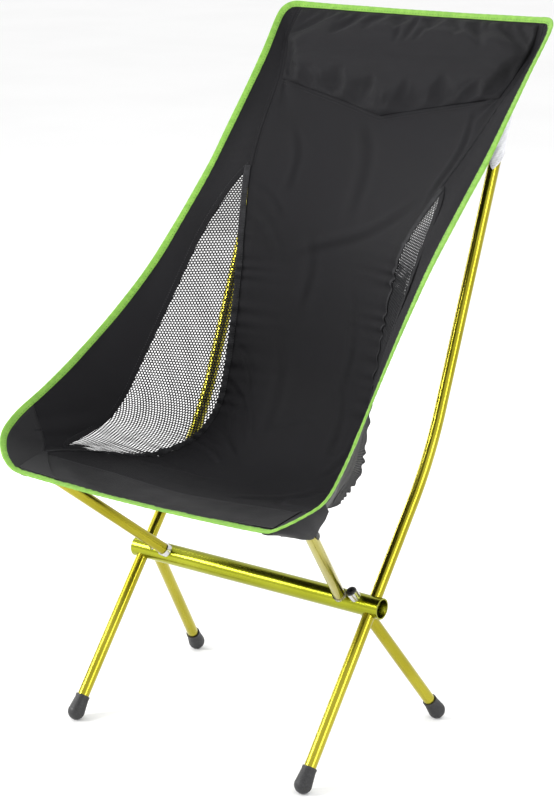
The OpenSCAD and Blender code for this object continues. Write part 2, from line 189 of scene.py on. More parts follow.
def makeDriftGroup():
    # slow variation of tone and finish, from two sizes of noise
    tree, desk, source, sink = newGroup("toneDrift", {"Vector": None, "Size": 5.0}, ("Broad", "Fine"))
    broad = desk.add("ShaderNodeTexNoise", {"Vector": source.outputs["Vector"], "Detail": 3.0,
                                            "Scale": source.outputs["Size"], "Roughness": 0.55})
    fineSize = desk.math("MULTIPLY", source.outputs["Size"], 14.0)
    fine = desk.add("ShaderNodeTexNoise", {"Vector": source.outputs["Vector"], "Scale": fineSize,
                                           "Detail": 4.0, "Roughness": 0.6})
    tree.links.new(desk.range(broad.outputs["Fac"], 0.3, 0.7), sink.inputs["Broad"])
    tree.links.new(desk.range(fine.outputs["Fac"], 0.3, 0.7), sink.inputs["Fine"])
    return tree


def makeDrawnGroup():
    # drawing marks along a tube (the vector's Z runs along it) and a few short scuffs
    tree, desk, source, sink = newGroup("drawnTube", {"Vector": None, "Marks": 420.0}, ("Marks", "Scuffs"))
    squeeze = desk.add("ShaderNodeMapping", {"Vector": source.outputs["Vector"], "Scale": (1.0, 1.0, 0.012)})
    marks = desk.add("ShaderNodeTexNoise", {"Vector": squeeze.outputs[0], "Scale": source.outputs["Marks"],
                                            "Detail": 3.0, "Roughness": 0.6})
    scuff = desk.add("ShaderNodeTexNoise", {"Vector": source.outputs["Vector"], "Scale": 75.0, "Detail": 5.0,
                                            "Roughness": 0.7, "Distortion": 1.2})
    tree.links.new(marks.outputs["Fac"], sink.inputs["Marks"])
    tree.links.new(desk.range(scuff.outputs["Fac"], 0.62, 0.74), sink.inputs["Scuffs"])
    return tree


weaveGroup = makeWeaveGroup()
ribGroup = makeRibGroup()
driftGroup = makeDriftGroup()
drawnGroup = makeDrawnGroup()

# Materials


def newMaterial(name):
    # an empty material with a Principled shader on its output
    material = bpy.data.materials.new(name)
    material.use_nodes = True
    tree = material.node_tree
    tree.nodes.clear()
    desk = nodeDesk(tree)
    shader = desk.add("ShaderNodeBsdfPrincipled")
    desk.add("ShaderNodeOutputMaterial", {"Surface": shader.outputs[0]})
    return material, desk, shader


def placed(desk, group, vector, **values):
    # a shared group in this material, with its own values
    node = desk.add("ShaderNodeGroup", node_tree=group)
    desk.tree.links.new(vector, node.inputs["Vector"])
    for key, value in values.items():
        node.inputs[key].default_value = value
    return node


def bump(desk, shader, height, distance, strength=1.0):
    # height, times distance in metres, tilts the shader's normal
    node = desk.add("ShaderNodeBump", {"Height": height, "Distance": distance, "Strength": strength})
    desk.tree.links.new(node.outputs[0], shader.inputs["Normal"])


def roughen(desk, shader, mask, middle, spread):
    # roughness runs evenly from middle - spread to middle + spread as the mask goes from 0 to 1
    rough = desk.range(mask, 0.0, 1.0, middle - spread, middle + spread, "LINEAR")
    desk.tree.links.new(rough, shader.inputs["Roughness"])


clothFinish = {"dark": (0.0048, 0.0046, 0.0054), "light": (0.0140, 0.0136, 0.0156), "pitch": 0.00062,
               "roughness": 0.62, "sheen": 0.02, "gloss": 0.13}


def wovenCloth(name, plan):
    # plain woven polyester: threads from the weave group, with painted shade where the threads dip, and broad
    # wear in tone and gloss
    material, desk, shader = newMaterial(name)
    place = desk.add("ShaderNodeTexCoord")
    weave = placed(desk, weaveGroup, place.outputs["UV"], Pitch=plan["pitch"])
    drift = placed(desk, driftGroup, place.outputs["Object"], Size=6.0)
    # painted shade: the weave's height darkens the colour in the dips between threads; the broad drift adds a
    # random tone
    tone = desk.math("ADD", desk.math("MULTIPLY", weave.outputs["Height"], 0.55),
                     desk.math("MULTIPLY", drift.outputs["Broad"], 0.45))
    colour = desk.mixColour(tone, plan["dark"], plan["light"])
    desk.tree.links.new(colour, shader.inputs["Base Color"])
    roughen(desk, shader, drift.outputs["Broad"], plan["roughness"], 0.07)
    shader.inputs["Sheen Weight"].default_value = plan["sheen"]
    shader.inputs["Sheen Roughness"].default_value = 0.45
    shader.inputs["Specular IOR Level"].default_value = plan["gloss"]
    height = desk.math("ADD", weave.outputs["Height"], desk.math("MULTIPLY", drift.outputs["Fine"], 0.6))
    bump(desk, shader, height, 0.00016, 0.7)
    return material


def ribbedTape(name, dark, light, pitch, roughness=0.7, sheen=0.15, gloss=0.4):
    # woven tape or yarn: ribs of one pitch, with painted shade between them
    material, desk, shader = newMaterial(name)
    place = desk.add("ShaderNodeTexCoord")
    ribs = placed(desk, ribGroup, place.outputs["UV"], Pitch=pitch)
    drift = placed(desk, driftGroup, place.outputs["Object"], Size=9.0)
    # painted shade: the ribs' height darkens the colour in the grooves between them; the fine drift adds a
    # random tone
    tone = desk.math("ADD", desk.math("MULTIPLY", ribs.outputs["Height"], 0.6),
                     desk.math("MULTIPLY", drift.outputs["Fine"], 0.4))
    desk.tree.links.new(desk.mixColour(tone, dark, light), shader.inputs["Base Color"])
    roughen(desk, shader, drift.outputs["Broad"], roughness, 0.06)
    shader.inputs["Sheen Weight"].default_value = sheen
    shader.inputs["Specular IOR Level"].default_value = gloss
    bump(desk, shader, ribs.outputs["Height"], 0.00022, 0.8)
    return material


def sewingThread(name, dark, light):
    # twisted thread: fine slanted bands of tone
    material, desk, shader = newMaterial(name)
    place = desk.add("ShaderNodeTexCoord")
    twist = desk.add("ShaderNodeTexWave", {"Vector": place.outputs["Object"], "Scale": 900.0,
                                           "Distortion": 2.0, "Detail": 1.0}, bands_direction="DIAGONAL")
    desk.tree.links.new(desk.mixColour(twist.outputs["Fac"], dark, light), shader.inputs["Base Color"])
    roughen(desk, shader, twist.outputs["Fac"], 0.6, 0.1)
    return material


def anodisedTube(name, direction, dark, light, roughness=0.24):
    # anodised aluminium: the Mapping turns the tube's direction onto Z, so the marks run along it
    material, desk, shader = newMaterial(name)
    place = desk.add("ShaderNodeTexCoord")
    lean = math.acos(direction[2] / np.linalg.norm(direction))
    heading = math.atan2(direction[1], direction[0])
    turned = desk.add("ShaderNodeMapping", {"Vector": place.outputs["Object"],
                                            "Rotation": (0.0, 0.0, -heading)})
    turned = desk.add("ShaderNodeMapping", {"Vector": turned.outputs[0], "Rotation": (0.0, -lean, 0.0)})
    drawn = placed(desk, drawnGroup, turned.outputs[0])
    drift = placed(desk, driftGroup, place.outputs["Object"], Size=7.0)
    tone = desk.math("ADD", desk.math("MULTIPLY", drawn.outputs["Marks"], 0.4),
                     desk.math("MULTIPLY", drift.outputs["Broad"], 0.6))
    desk.tree.links.new(desk.mixColour(tone, dark, light), shader.inputs["Base Color"])
    shine = desk.math("ADD", desk.range(drawn.outputs["Marks"], 0.3, 0.7, roughness - 0.05, roughness + 0.05),
                      desk.math("MULTIPLY", drawn.outputs["Scuffs"], 0.12))
    desk.tree.links.new(shine, shader.inputs["Roughness"])
    shader.inputs["Metallic"].default_value = 1.0
    shader.inputs["Coat Weight"].default_value = 0.12
    shader.inputs["Coat Roughness"].default_value = 0.12
    bump(desk, shader, drawn.outputs["Marks"], 0.00004, 0.35)
    return material


def mouldedPiece(name, dark, light, roughness, grain, depth):
    # moulded rubber or nylon: fine grain, and scuffs that are paler and duller
    material, desk, shader = newMaterial(name)
    place = desk.add("ShaderNodeTexCoord")
    drift = placed(desk, driftGroup, place.outputs["Object"], Size=40.0)
    pits = desk.add("ShaderNodeTexVoronoi", {"Vector": place.outputs["Object"], "Scale": grain})
    desk.tree.links.new(desk.mixColour(drift.outputs["Fine"], dark, light), shader.inputs["Base Color"])
    roughen(desk, shader, drift.outputs["Broad"], roughness, 0.1)
    bump(desk, shader, pits.outputs["Distance"], depth, 0.6)
    return material


blackCloth = wovenCloth("blackCloth", clothFinish)
padCloth = wovenCloth("padCloth", {**clothFinish, "dark": (0.0052, 0.0050, 0.0058),
                                   "light": (0.0152, 0.0148, 0.0168)})
liningCloth = wovenCloth("liningCloth", {**clothFinish, "roughness": 0.48, "gloss": 0.3, "pitch": 0.0008})
netYarn = ribbedTape("netYarn", (0.006, 0.006, 0.007), (0.022, 0.022, 0.024), 0.0004, 0.6, 0.0, 0.15)
blackTape = ribbedTape("blackTape", (0.002, 0.002, 0.0025), (0.034, 0.034, 0.037), 0.0024, 0.7, 0.0, 0.2)
limeTape = ribbedTape("limeTape", (0.11, 0.29, 0.024), (0.27, 0.53, 0.075), 0.0013, 0.62, 0.06)
greyWebbing = ribbedTape("greyWebbing", (0.40, 0.40, 0.43), (0.80, 0.80, 0.84), 0.0022, 0.6, 0.1)
limeThread = sewingThread("limeThread", (0.03, 0.10, 0.008), (0.09, 0.22, 0.02))
blackThread = sewingThread("blackThread", (0.010, 0.010, 0.011), (0.045, 0.045, 0.048))
rubber = mouldedPiece("rubber", (0.008, 0.008, 0.009), (0.026, 0.026, 0.028), 0.55, 1500.0, 0.00012)
nylon = mouldedPiece("nylon", (0.005, 0.005, 0.006), (0.016, 0.016, 0.017), 0.42, 2200.0, 0.00006)
elastic = mouldedPiece("elastic", (0.03, 0.03, 0.034), (0.09, 0.09, 0.1), 0.7, 900.0, 0.0003)

poleGold = {"dark": (0.29, 0.252, 0.009), "light": (0.47, 0.42, 0.040)}
barGold = {"dark": (0.25, 0.268, 0.008), "light": (0.40, 0.42, 0.034)}
bareMetal = {"dark": (0.55, 0.55, 0.57), "light": (0.78, 0.78, 0.80)}
poleDirections = {   # which way each tube runs on the right side, so that its drawing marks run along it
    "crossbar": (1, 0, 0), "front_leg": (0, 0.629, 0.777), "seat_pole": (0.294, -0.717, 0.632),
    "rear_leg": (0.159, 0.574, -0.803), "back_pole_lower": (0, 0.52, 0.854),
    "back_pole_upper": (0, 0.371, 0.928),
    "hub_spigot": (0, 0.629, 0.777), "rear_leg_spigot": (0.159, 0.574, -0.803),
    "seat_socket": (0.294, -0.717, 0.632), "back_pole_ferrule": (0, 0.371, 0.928),
}
silverNodes = ("hub_spigot", "rear_leg_spigot", "seat_socket", "back_pole_ferrule")
nodeFinish = {"front_foot": rubber, "rear_foot": rubber, "spigot_plug": nylon, "seat_pole_tip": nylon,
              "back_pole_tip": nylon, "front_cord": elastic, "rear_cord": elastic, "seat_cord": elastic,
              "back_cord": elastic}


def sided(name):
    # a node's plain name and its side, -1 left, 1 right, 0 for neither
    for ending, side in (("_left", -1), ("_right", 1)):
        if name.endswith(ending):
            return name[:-len(ending)], side
    return name, 0


def finishNodes():
    # gives each tube, foot, plug and cord of the frame its own finish
    for name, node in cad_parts.items():
        plain, side = sided(name)
        if plain in poleDirections:
            x, y, z = poleDirections[plain]
            tone = bareMetal if plain in silverNodes else barGold if plain == "crossbar" else poleGold
            material = anodisedTube(name + "Finish", (x * (side or 1), y, z), **tone)
        elif plain in nodeFinish:
            material = nodeFinish[plain]
        else:
            continue
        node.data.materials.clear()
        node.data.materials.append(material)


finishNodes()
print("materials are made and the frame has its finishes")

# The sling's shape

slingPlan = {
    # stations from the top edge to the front edge on the right side, in mm, the crossbar's axis at y = 0
    "edge": ((206, 381, 913), (217, 364, 901), (213, 318, 849), (211, 278, 806), (209, 222, 747),
             (206, 176, 702), (205, 104, 637), (208, 48, 586), (217, -17, 533), (230, -85, 483),
             (239, -125, 456), (245, -152, 440), (249, -172, 429), (251, -189, 418), (249, -206, 407),
             (238, -222, 397), (222, -235, 386), (204, -241, 376)),
    "seam": ((199, 383, 912), (202, 358, 876), (193, 333, 844), (182, 305, 812), (167, 244, 752),
             (151, 198, 703), (128, 154, 640), (121, 137, 585), (118, 121, 520), (117, 101, 443),
             (120, 84, 394), (133, 52, 357), (147, -2, 344), (162, -38, 347), (182, -78, 357),
             (196, -130, 371), (203, -183, 380), (200, -239, 373)),
    "middle": ((0, 398, 909), (0, 372, 880), (0, 345, 846), (0, 317, 810), (0, 274, 756),
               (0, 228, 703), (0, 184, 640), (0, 163, 582), (0, 145, 515), (0, 122, 440),
               (0, 90, 384), (0, 44, 342), (0, -12, 328), (0, -75, 336), (0, -128, 350),
               (0, -175, 360), (0, -212, 365), (0, -237, 367)),
    "barY": -0.07855,        # where the crossbar's axis lies, in metres
    "meshTop": 0.287, "meshEnd": 0.885,      # where the mesh opening begins and ends, as t
    "clothTop": 0.004, "clothEnd": 0.994,    # where the cloth ends inside the binding, as t
    "gatherPitch": 0.019, "gatherDepth": 0.0024,
}
mm = 0.001


def along(line, t):
    # Catmull-Rom curve through the stations of a line, t from 0 at the first to 1 at the last
    p = np.array(slingPlan[line], float) * mm
    n = len(p) - 1
    s = np.clip(t, 0, 1) * n
    i = np.minimum(np.floor(s).astype(int), n - 1)
    f = (s - i)[..., None]
    a, b, c, d = p[np.maximum(i - 1, 0)], p[i], p[i + 1], p[np.minimum(i + 2, n)]
    curve = 0.5 * (2 * b + (c - a) * f + (2 * a - 5 * b + 4 * c - d) * f ** 2
                   + (3 * b - a - 3 * c + d) * f ** 3)
    return curve + [0, slingPlan["barY"], 0]


def centrePoint(t, v):
    # between the seams: x grows with v, y and z go from the middle's to the seam's with v squared
    seam, middle = along("seam", t), along("middle", t)
    v = np.asarray(v)[..., None]
    point = middle + (seam - middle) * v ** 2
    point[..., 0] = seam[..., 0] * v[..., 0]
    return point


def sidePoint(t, w, side=1):
    # straight from the seam at w = 0 to the edge at w = 1
    seam, edge = along("seam", t), along("edge", t)
    return (seam + (edge - seam) * np.asarray(w)[..., None]) * [side, 1, 1]


def sideWidth(t):
    # straight distance from the seam to the edge
    return np.linalg.norm(along("edge", t) - along("seam", t), axis=-1)


def meshReach(t):
    # how far the mesh goes from the seam to the edge: a share that falls slowly and closes at both ends
    u = np.clip((t - slingPlan["meshTop"]) / (slingPlan["meshEnd"] - slingPlan["meshTop"]), 0, 1)
    return (0.67 - 0.2 * u) * (1 - (2 * u - 1) ** 8)


def unit(a):
    # each vector over its own length
    return a / np.maximum(np.linalg.norm(a, axis=-1, keepdims=True), 1e-12)


def gridNormals(points):
    # cross product of the steps down and across the grid
    return unit(np.cross(np.gradient(points, axis=0), np.gradient(points, axis=1)))


def smooth(x, low, high):
    # 0 below low, 1 above high, 3 u^2 - 2 u^3 between them
    u = np.clip((x - low) / (high - low), 0, 1)
    return u * u * (3 - 2 * u)


def travelled(points):
    # distance walked along a line of points
    return np.concatenate([[0], np.cumsum(np.linalg.norm(np.diff(points, axis=0), axis=1))])


def waves(x, y, wavelength, seed, spread=0.5, heading=0.0, count=7):
    # sum of sines whose directions and lengths lie about one heading and wavelength
    rng = np.random.default_rng(seed)
    total = np.zeros(np.broadcast(x, y).shape)
    for _ in range(count):
        angle = heading + rng.normal(0, spread)
        turns = (x * math.cos(angle) + y * math.sin(angle)) / (wavelength * rng.uniform(0.7, 1.5))
        total += np.sin(2 * math.pi * (turns + rng.uniform()))
    return total / math.sqrt(count)


seamT = np.linspace(0, 1, 1200)
seamWalk = travelled(along("seam", seamT))


def seamLength(t):
    # metres walked along the seam from the top edge
    return np.interp(t, seamT, seamWalk)


def gather(t, side):
    # push of the cloth beside the mesh seam, where it is sewn in with more length than the tape
    # a wave along the seam whose pitch and height wander, strongest down the lower back and the seat's rear
    s = seamLength(t)
    pitch = slingPlan["gatherPitch"]
    wander = (0.22 * np.sin(2 * math.pi * s / 0.083 + 1.3 * side)
              + 0.08 * np.sin(2 * math.pi * s / 0.047 + side))
    height = 0.65 + 0.35 * np.sin(2 * math.pi * s / 0.061 + 2.0 + side)
    reach = smooth(t, 0.31, 0.42) * (1 - smooth(t, 0.66, 0.90))
    return slingPlan["gatherDepth"] * reach * height * np.sin(2 * math.pi * s / pitch + 2 * math.pi * wander)


def seamNormal(t, side):
    # halfway between the normals of the two panels that meet at the seam
    step = 1e-3
    down = along("seam", np.minimum(t + step, 1)) - along("seam", np.maximum(t - step, 0))
    across = along("seam", t) - centrePoint(t, np.full_like(t, 0.97))
    outward = along("edge", t) - along("seam", t)
    normal = unit(unit(np.cross(down, across)) + unit(np.cross(down, outward)))
    return normal * [side, 1, 1]


# Mesh making


def newPiece(name, points, faces, material, uv=None):
    # a mesh object from plain points and faces, smooth shaded, with uv given per point
    mesh = bpy.data.meshes.new(name)
    mesh.from_pydata(points, [], faces)
    if uv is not None:
        layer = mesh.uv_layers.new(name="cloth")
        corner = np.zeros(len(mesh.loops), np.int32)
        mesh.loops.foreach_get("vertex_index", corner)
        layer.data.foreach_set("uv", np.asarray(uv, np.float32)[corner].ravel())
    mesh.polygons.foreach_set("use_smooth", np.ones(len(mesh.polygons), bool))
    mesh.materials.append(material)
    mesh.update()
    piece = bpy.data.objects.new(name, mesh)
    bpy.context.scene.collection.objects.link(piece)
    return piece


def gridFaces(rows, columns, loopRows=False, loopColumns=False, flip=False):
    # quads between neighbours on a grid, turned over where the grid is mirrored
    i = np.arange(rows if loopRows else rows - 1)
    j = np.arange(columns if loopColumns else columns - 1)
    i, j = (a.ravel() for a in np.meshgrid(i, j, indexing="ij"))
    i2, j2 = (i + 1) % rows, (j + 1) % columns
    faces = np.stack([i * columns + j, i2 * columns + j, i2 * columns + j2, i * columns + j2], axis=1)
    return (faces[:, ::-1] if flip else faces).tolist()


def clothSheet(name, points, uv, material, thickness, flip=False):
    # a grid of points given a thickness, half to each side
    rows, columns = points.shape[:2]
    piece = newPiece(name, points.reshape(-1, 3), gridFaces(rows, columns, flip=flip), material,
                     uv.reshape(-1, 2))
    wall = piece.modifiers.new("thickness", "SOLIDIFY")
    wall.thickness, wall.offset = thickness, 0
    wall.use_even_offset = False
    return piece


def alongWalk(at, walk, values):
    # rows of values, known at the distances in walk, read off at other distances
    return np.stack([np.interp(at, walk, values[:, k]) for k in range(3)], axis=1)


def flatRing(squareness, width, thickness, count):
    # x = width/2 cos a, y = thickness/2 sin a, both with a power that squares them off
    a = 2 * math.pi * (np.arange(count) + 0.5) / count
    x = np.sign(np.cos(a)) * np.abs(np.cos(a)) ** squareness * width / 2
    y = np.sign(np.sin(a)) * np.abs(np.sin(a)) ** squareness * thickness / 2
    return x, y


def carried(name, path, inward, normal, material, width, thickness, count=14, closed=False, squareness=0.6,
            widths=None, lifts=None):
    # a flattened ring carried along a path: path + inward x + normal y, with x and y round the ring
    # widths scale the ring's width along the path and lifts raise it; the ends are closed with a cap
    x, y = flatRing(squareness, width, thickness, count)
    scale = np.ones(len(path)) if widths is None else widths
    lift = np.zeros(len(path)) if lifts is None else lifts
    rings = (path[:, None] + inward[:, None] * (x[None, :, None] * scale[:, None, None])
             + normal[:, None] * (y[None, :, None] + lift[:, None, None]))
    rows = len(path)
    walk = travelled(path)
    around = np.linspace(0, 2 * (width + thickness), count)
    uv = np.stack(np.broadcast_arrays(around[None, :], walk[:, None]), axis=-1).reshape(-1, 2)
    points = rings.reshape(-1, 3)
    faces = gridFaces(rows, count, loopRows=closed, loopColumns=True)
    if not closed:
        faces += [list(range(count)), list(range((rows - 1) * count, rows * count))]
    piece = newPiece(name, points, faces, material, uv)
    turnOut(piece)
    return piece


def turnOut(piece):
    # recalculates the normals so that every face points outwards
    work = bmesh.new()
    work.from_mesh(piece.data)
    bmesh.ops.recalc_face_normals(work, faces=work.faces)
    work.to_mesh(piece.data)
    work.free()


def spindles(name, start, ring, end, material):
    # many stretched octahedra in one mesh: each has a tip, a ring of four points and a tip
    points = np.stack([start, *ring, end], axis=1).reshape(-1, 3)
    pattern = np.array([[0, 1, 2], [0, 2, 3], [0, 3, 4], [0, 4, 1],
                        [5, 2, 1], [5, 3, 2], [5, 4, 3], [5, 1, 4]])
    faces = (np.arange(len(start))[:, None, None] * 6 + pattern).reshape(-1, 3)
    piece = newPiece(name, points, faces.tolist(), material)
    turnOut(piece)
    return piece


def stitches(name, path, normal, material, pitch=0.0036, share=0.68, radius=0.00035):
    # one spindle for each pitch of the path, as long as its share of the pitch, sunk at both ends
    walk = travelled(path)
    count = max(int(walk[-1] / pitch), 1)
    start = (np.arange(count) + 0.5 * (1 - share)) * walk[-1] / count
    length = walk[-1] / count * share
    a, b = alongWalk(start, walk, path), alongWalk(start + length, walk, path)
    up = unit(alongWalk(start + length / 2, walk, normal))
    over = unit(np.cross(unit(b - a), up))
    middle = (a + b) / 2 + up * radius * 0.6
    sink = up * radius * 0.8
    ring = [middle + over * radius, middle + up * radius, middle - over * radius, middle - up * radius]
    return spindles(name, a - sink, ring, b - sink, material)


def onSling(piece, *nodes):
    # the piece moves with the sling and takes the place of these nodes
    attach(piece, "sling")
    if nodes:
        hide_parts(*nodes)
    return piece


sideNames = {-1: "Left", 1: "Right"}
nodeSides = {-1: "_left", 1: "_right"}

# Centre panel

centrePlan = {
    "rows": 330, "columns": 200, "thickness": 0.0011, "foldDepth": 0.0030, "gatherFade": 0.024,
    "pleatReach": 0.055, "pleatDepth": 0.0016,
    # creases from one (t, v) to another, with width and height in mm; a minus sign swaps its two flanks
    "creases": ((0.32, 0.77, 0.39, -0.23, 9, 3.9), (0.34, -0.95, 0.40, -0.55, 7, -2.6),
                (0.31, -0.96, 0.34, -0.60, 6, 1.6), (0.50, -1.0, 0.55, -0.66, 5, 2.9),
                (0.54, -1.0, 0.61, -0.48, 6, -3.6), (0.57, -1.0, 0.62, -0.70, 4, 2.3),
                (0.52, 0.45, 0.61, 0.59, 9, 3.2), (0.44, 0.46, 0.52, 0.57, 8, 2.6),
                (0.37, -0.24, 0.45, -0.19, 9, 2.9), (0.60, -0.25, 0.57, 0.20, 7, 2.6),
                (0.62, -0.95, 0.64, -0.50, 6, 3.2), (0.66, -0.92, 0.67, -0.55, 5, -2.6),
                (0.78, -0.88, 0.71, -0.37, 7, 2.6), (0.24, -0.70, 0.31, -0.58, 7, 2.1),
                (0.20, 0.83, 0.30, 0.98, 6, 2.9), (0.59, 0.85, 0.65, 0.62, 7, 2.9),
                (0.69, 0.70, 0.78, 0.20, 10, 2.9), (0.48, -0.55, 0.60, -0.28, 10, 2.3),
                (0.23, -0.1, 0.33, 0.18, 12, 2.9), (0.84, 0.82, 0.74, 0.50, 7, 2.5)),
}


def creaseField(t, v, creases):
    # each crease is a step across its line, (d / width) exp(-(d / width)^2), that fades at its two ends
    x, down = along("seam", t)[..., 0] * v, seamLength(t)
    total = np.zeros(t.shape)
    for t0, v0, t1, v1, width, height in creases:
        ends = np.array([t0, t1])
        ax, bx = along("seam", ends)[:, 0] * [v0, v1]
        ay, by = seamLength(ends)
        length = math.hypot(bx - ax, by - ay)
        cx, cy = (bx - ax) / length, (by - ay) / length
        run = (x - ax) * cx + (down - ay) * cy
        off = (down - ay) * cx - (x - ax) * cy + 0.06 * length * np.sin(run / length * 4.0)
        fade = np.exp(-(np.maximum(np.abs(run - length / 2) - length * 0.32, 0) / (length * 0.22)) ** 2)
        d = off / (width * mm)
        total += height * mm * fade * d * np.exp(-d * d)
    return total


def centreShape(t, v, plan):
    # the smooth panel, then along its normals: broad folds, gathers that fade from the mesh seams,
    # and pleats that fan out from the two places where the back poles push
    base = centrePoint(t, v)
    step = 1e-3
    normal = unit(np.cross(centrePoint(t + step, v) - centrePoint(t - step, v),
                           centrePoint(t, v + step) - centrePoint(t, v - step)))
    x = base[..., 0]
    down = seamLength(t)
    inner = 1 - smooth(np.abs(v), 0.9, 1.0)
    broad = waves(x, down * 0.6, 0.21, 3, 0.9, count=5)
    rise = plan["foldDepth"] * inner * broad * 0.5 * smooth(t, 0.18, 0.3) * (1 - smooth(t, 0.9, 0.97))
    rise += creaseField(t, v, plan["creases"]) * (1 - smooth(np.abs(v), 0.96, 1.0))
    for side in (-1, 1):
        pole = centrePoint(np.array([0.165]), np.array([side * 0.96]))[0]
        away = base - pole
        distance = np.linalg.norm(away, axis=-1)
        angle = np.arctan2(away[..., 2], away[..., 0] * side)
        fan = np.sin(9 * angle + 0.8 * np.sin(3 * angle + side))
        rise += (plan["pleatDepth"] * fan * smooth(distance, 0.004, 0.02)
                 * np.exp(-(distance / plan["pleatReach"]) ** 2) * inner)
    point = base + normal * rise[..., None]
    for side in (-1, 1):
        gap = np.abs(side * v - 1) * along("seam", t)[..., 0]
        push = gather(t, side) * np.exp(-(gap / plan["gatherFade"]))
        point = point + seamNormal(t, side) * push[..., None]
    return point


def centreUv(t, v):
    # metres from the middle line and metres down the seam
    return np.stack([along("seam", t)[..., 0] * v, seamLength(t)], axis=-1)


def makeCentre(plan):
    # the whole panel between its seams
    t, v = np.meshgrid(np.linspace(slingPlan["clothTop"], slingPlan["clothEnd"], plan["rows"]),
                       np.linspace(-1, 1, plan["columns"]), indexing="ij")
    piece = clothSheet("centrePanel", centreShape(t, v, plan), centreUv(t, v), blackCloth, plan["thickness"])
    onSling(piece, "centre_panel")
    centrePoint(t, v)


makeCentre(centrePlan)
print("centre panel is made")

# Side wings, from the mesh to the edge

wingPlan = {"rows": 420, "columns": 60, "thickness": 0.0011, "foldDepth": 0.0011, "underEdge": 0.003,
            "overMesh": 0.0015, "puckerPitch": 0.0125, "puckerReach": 0.009, "hemPitch": 0.015,
            "gatherFade": 0.03}


def makeWing(plan, side):
    # between the mesh's outline and the edge, with folds along the pull and small puckers at the binding
    t = np.linspace(slingPlan["clothTop"], slingPlan["clothEnd"], plan["rows"])[:, None]
    share = np.linspace(0, 1, plan["columns"])[None, :]
    width = sideWidth(t)
    low = meshReach(t) - plan["overMesh"] / width * (meshReach(t) > 0)
    high = 1 - plan["underEdge"] / width
    t, w = np.broadcast_arrays(t, low + (high - low) * share)
    base = sidePoint(t, w, side)
    down = seamLength(t)
    normal = gridNormals(base) * side
    toEdge, fromSeam = (1 - w) * width, w * width
    folds = waves(fromSeam, down * 0.3, 0.075, 11 + side, 0.4) * smooth(fromSeam, 0.0, 0.02)
    pucker = (np.sin(2 * math.pi * down / plan["puckerPitch"] + 1.5 * np.sin(down * 31))
              * np.exp(-toEdge / plan["puckerReach"]) * 0.45)
    hem = np.sin(2 * math.pi * down / plan["hemPitch"] + 2.1 * np.sin(down * 23)) * np.exp(-fromSeam / 0.02)
    rise = plan["foldDepth"] * (0.7 * folds * smooth(toEdge, 0, 0.02) + pucker)
    rise = rise + plan["foldDepth"] * 0.25 * hem * (meshReach(t) <= 0.02)
    point = base + normal * rise[..., None]
    push = gather(t, side) * np.exp(-fromSeam / plan["gatherFade"])
    point = point + seamNormal(t, side) * push[..., None]
    uv = np.stack([fromSeam, down], axis=-1)
    piece = clothSheet("sideWing" + sideNames[side], point, uv, blackCloth, plan["thickness"], flip=side < 0)
    onSling(piece, "side_wing" + nodeSides[side])


for side in (-1, 1):
    makeWing(wingPlan, side)
print("side wings are made")

# Mesh panels: a knitted net of six-sided holes

netPlan = {"pitch": 0.0042, "yarn": 0.0016, "thickness": 0.0009, "tuck": 0.004, "gatherFade": 0.03,
           "ripple": 0.0008}


def makeNet(plan, side):
    # each cell is a ring of six quads between a big and a small hexagon; cells share the big one's corners
    # the flat net is laid on the panel by length along it and distance from the seam
    table = np.linspace(slingPlan["meshTop"] + 0.004, slingPlan["meshEnd"] - 0.004, 700)
    walk = travelled(sidePoint(table, np.full(700, 0.3)))
    reach = meshReach(table) * sideWidth(table) + plan["tuck"]
    pitch = plan["pitch"]
    rowGap = pitch * math.sqrt(3) / 2
    row = np.arange(1, int(walk[-1] / rowGap))
    column = np.arange(1, int(reach.max() / pitch) + 1)
    row, column = (a.ravel() for a in np.meshgrid(row, column, indexing="ij"))
    x, y = (column - 0.5 + 0.5 * (row % 2)) * pitch, row * rowGap
    inside = x < np.interp(y, walk, reach) - pitch * 0.5
    x, y = x[inside], y[inside]
    angle = np.radians(30 + 60 * np.arange(6))
    big = pitch / math.sqrt(3)
    small = (pitch - plan["yarn"]) / math.sqrt(3)
    corner = np.stack([np.cos(angle), np.sin(angle)], axis=1)
    centre = np.stack([x, y], axis=1)[:, None]
    outer = (centre + corner * big).reshape(-1, 2)
    inner = (centre + corner * small).reshape(-1, 2)
    _, first, which = np.unique(np.round(outer / (pitch * 0.05)).astype(int), axis=0,
                                return_index=True, return_inverse=True)
    which = which.reshape(-1, 6)
    shared = outer[first]
    flat = np.concatenate([shared, inner])
    cells = len(x)
    ring = len(shared) + np.arange(cells * 6).reshape(-1, 6)
    k, k2 = np.arange(6), (np.arange(6) + 1) % 6
    faces = np.stack([which[:, k], which[:, k2], ring[:, k2], ring[:, k]], axis=-1).reshape(-1, 4)
    t = np.interp(flat[:, 1], walk, table)
    gap = np.maximum(flat[:, 0], 0.0003)
    width = sideWidth(t)
    point = sidePoint(t, gap / width, side)
    normal = seamNormal(t, side)
    point += normal * (gather(t, side) * np.exp(-gap / plan["gatherFade"]))[:, None]
    ripple = waves(gap, flat[:, 1], 0.045, 21 + side, 0.5, 0.6) * plan["ripple"] * smooth(gap, 0, 0.02)
    edgeShare = gap / np.maximum(np.interp(flat[:, 1], walk, reach), 1e-4)
    ripple *= 1 - smooth(edgeShare, 0.8, 1.0)
    point += normal * (ripple - 0.0003)[:, None]
    piece = newPiece("meshNet" + sideNames[side], point, faces.tolist(), netYarn, flat)
    if side < 0:
        piece.data.flip_normals()
    wall = piece.modifiers.new("thickness", "SOLIDIFY")
    wall.thickness, wall.offset, wall.use_even_offset = plan["thickness"], 0, False
    onSling(piece, "mesh_panel" + nodeSides[side])


for side in (-1, 1):
    makeNet(netPlan, side)
print("mesh panels are made")

# Tape over the mesh seam, and the folded hem round the mesh


def evenPath(points, spacing):
    # the same line with its points a fixed distance apart
    walk = travelled(points)
    even = np.linspace(0, walk[-1], max(int(walk[-1] / spacing), 2))
    return alongWalk(even, walk, points), even / walk[-1]


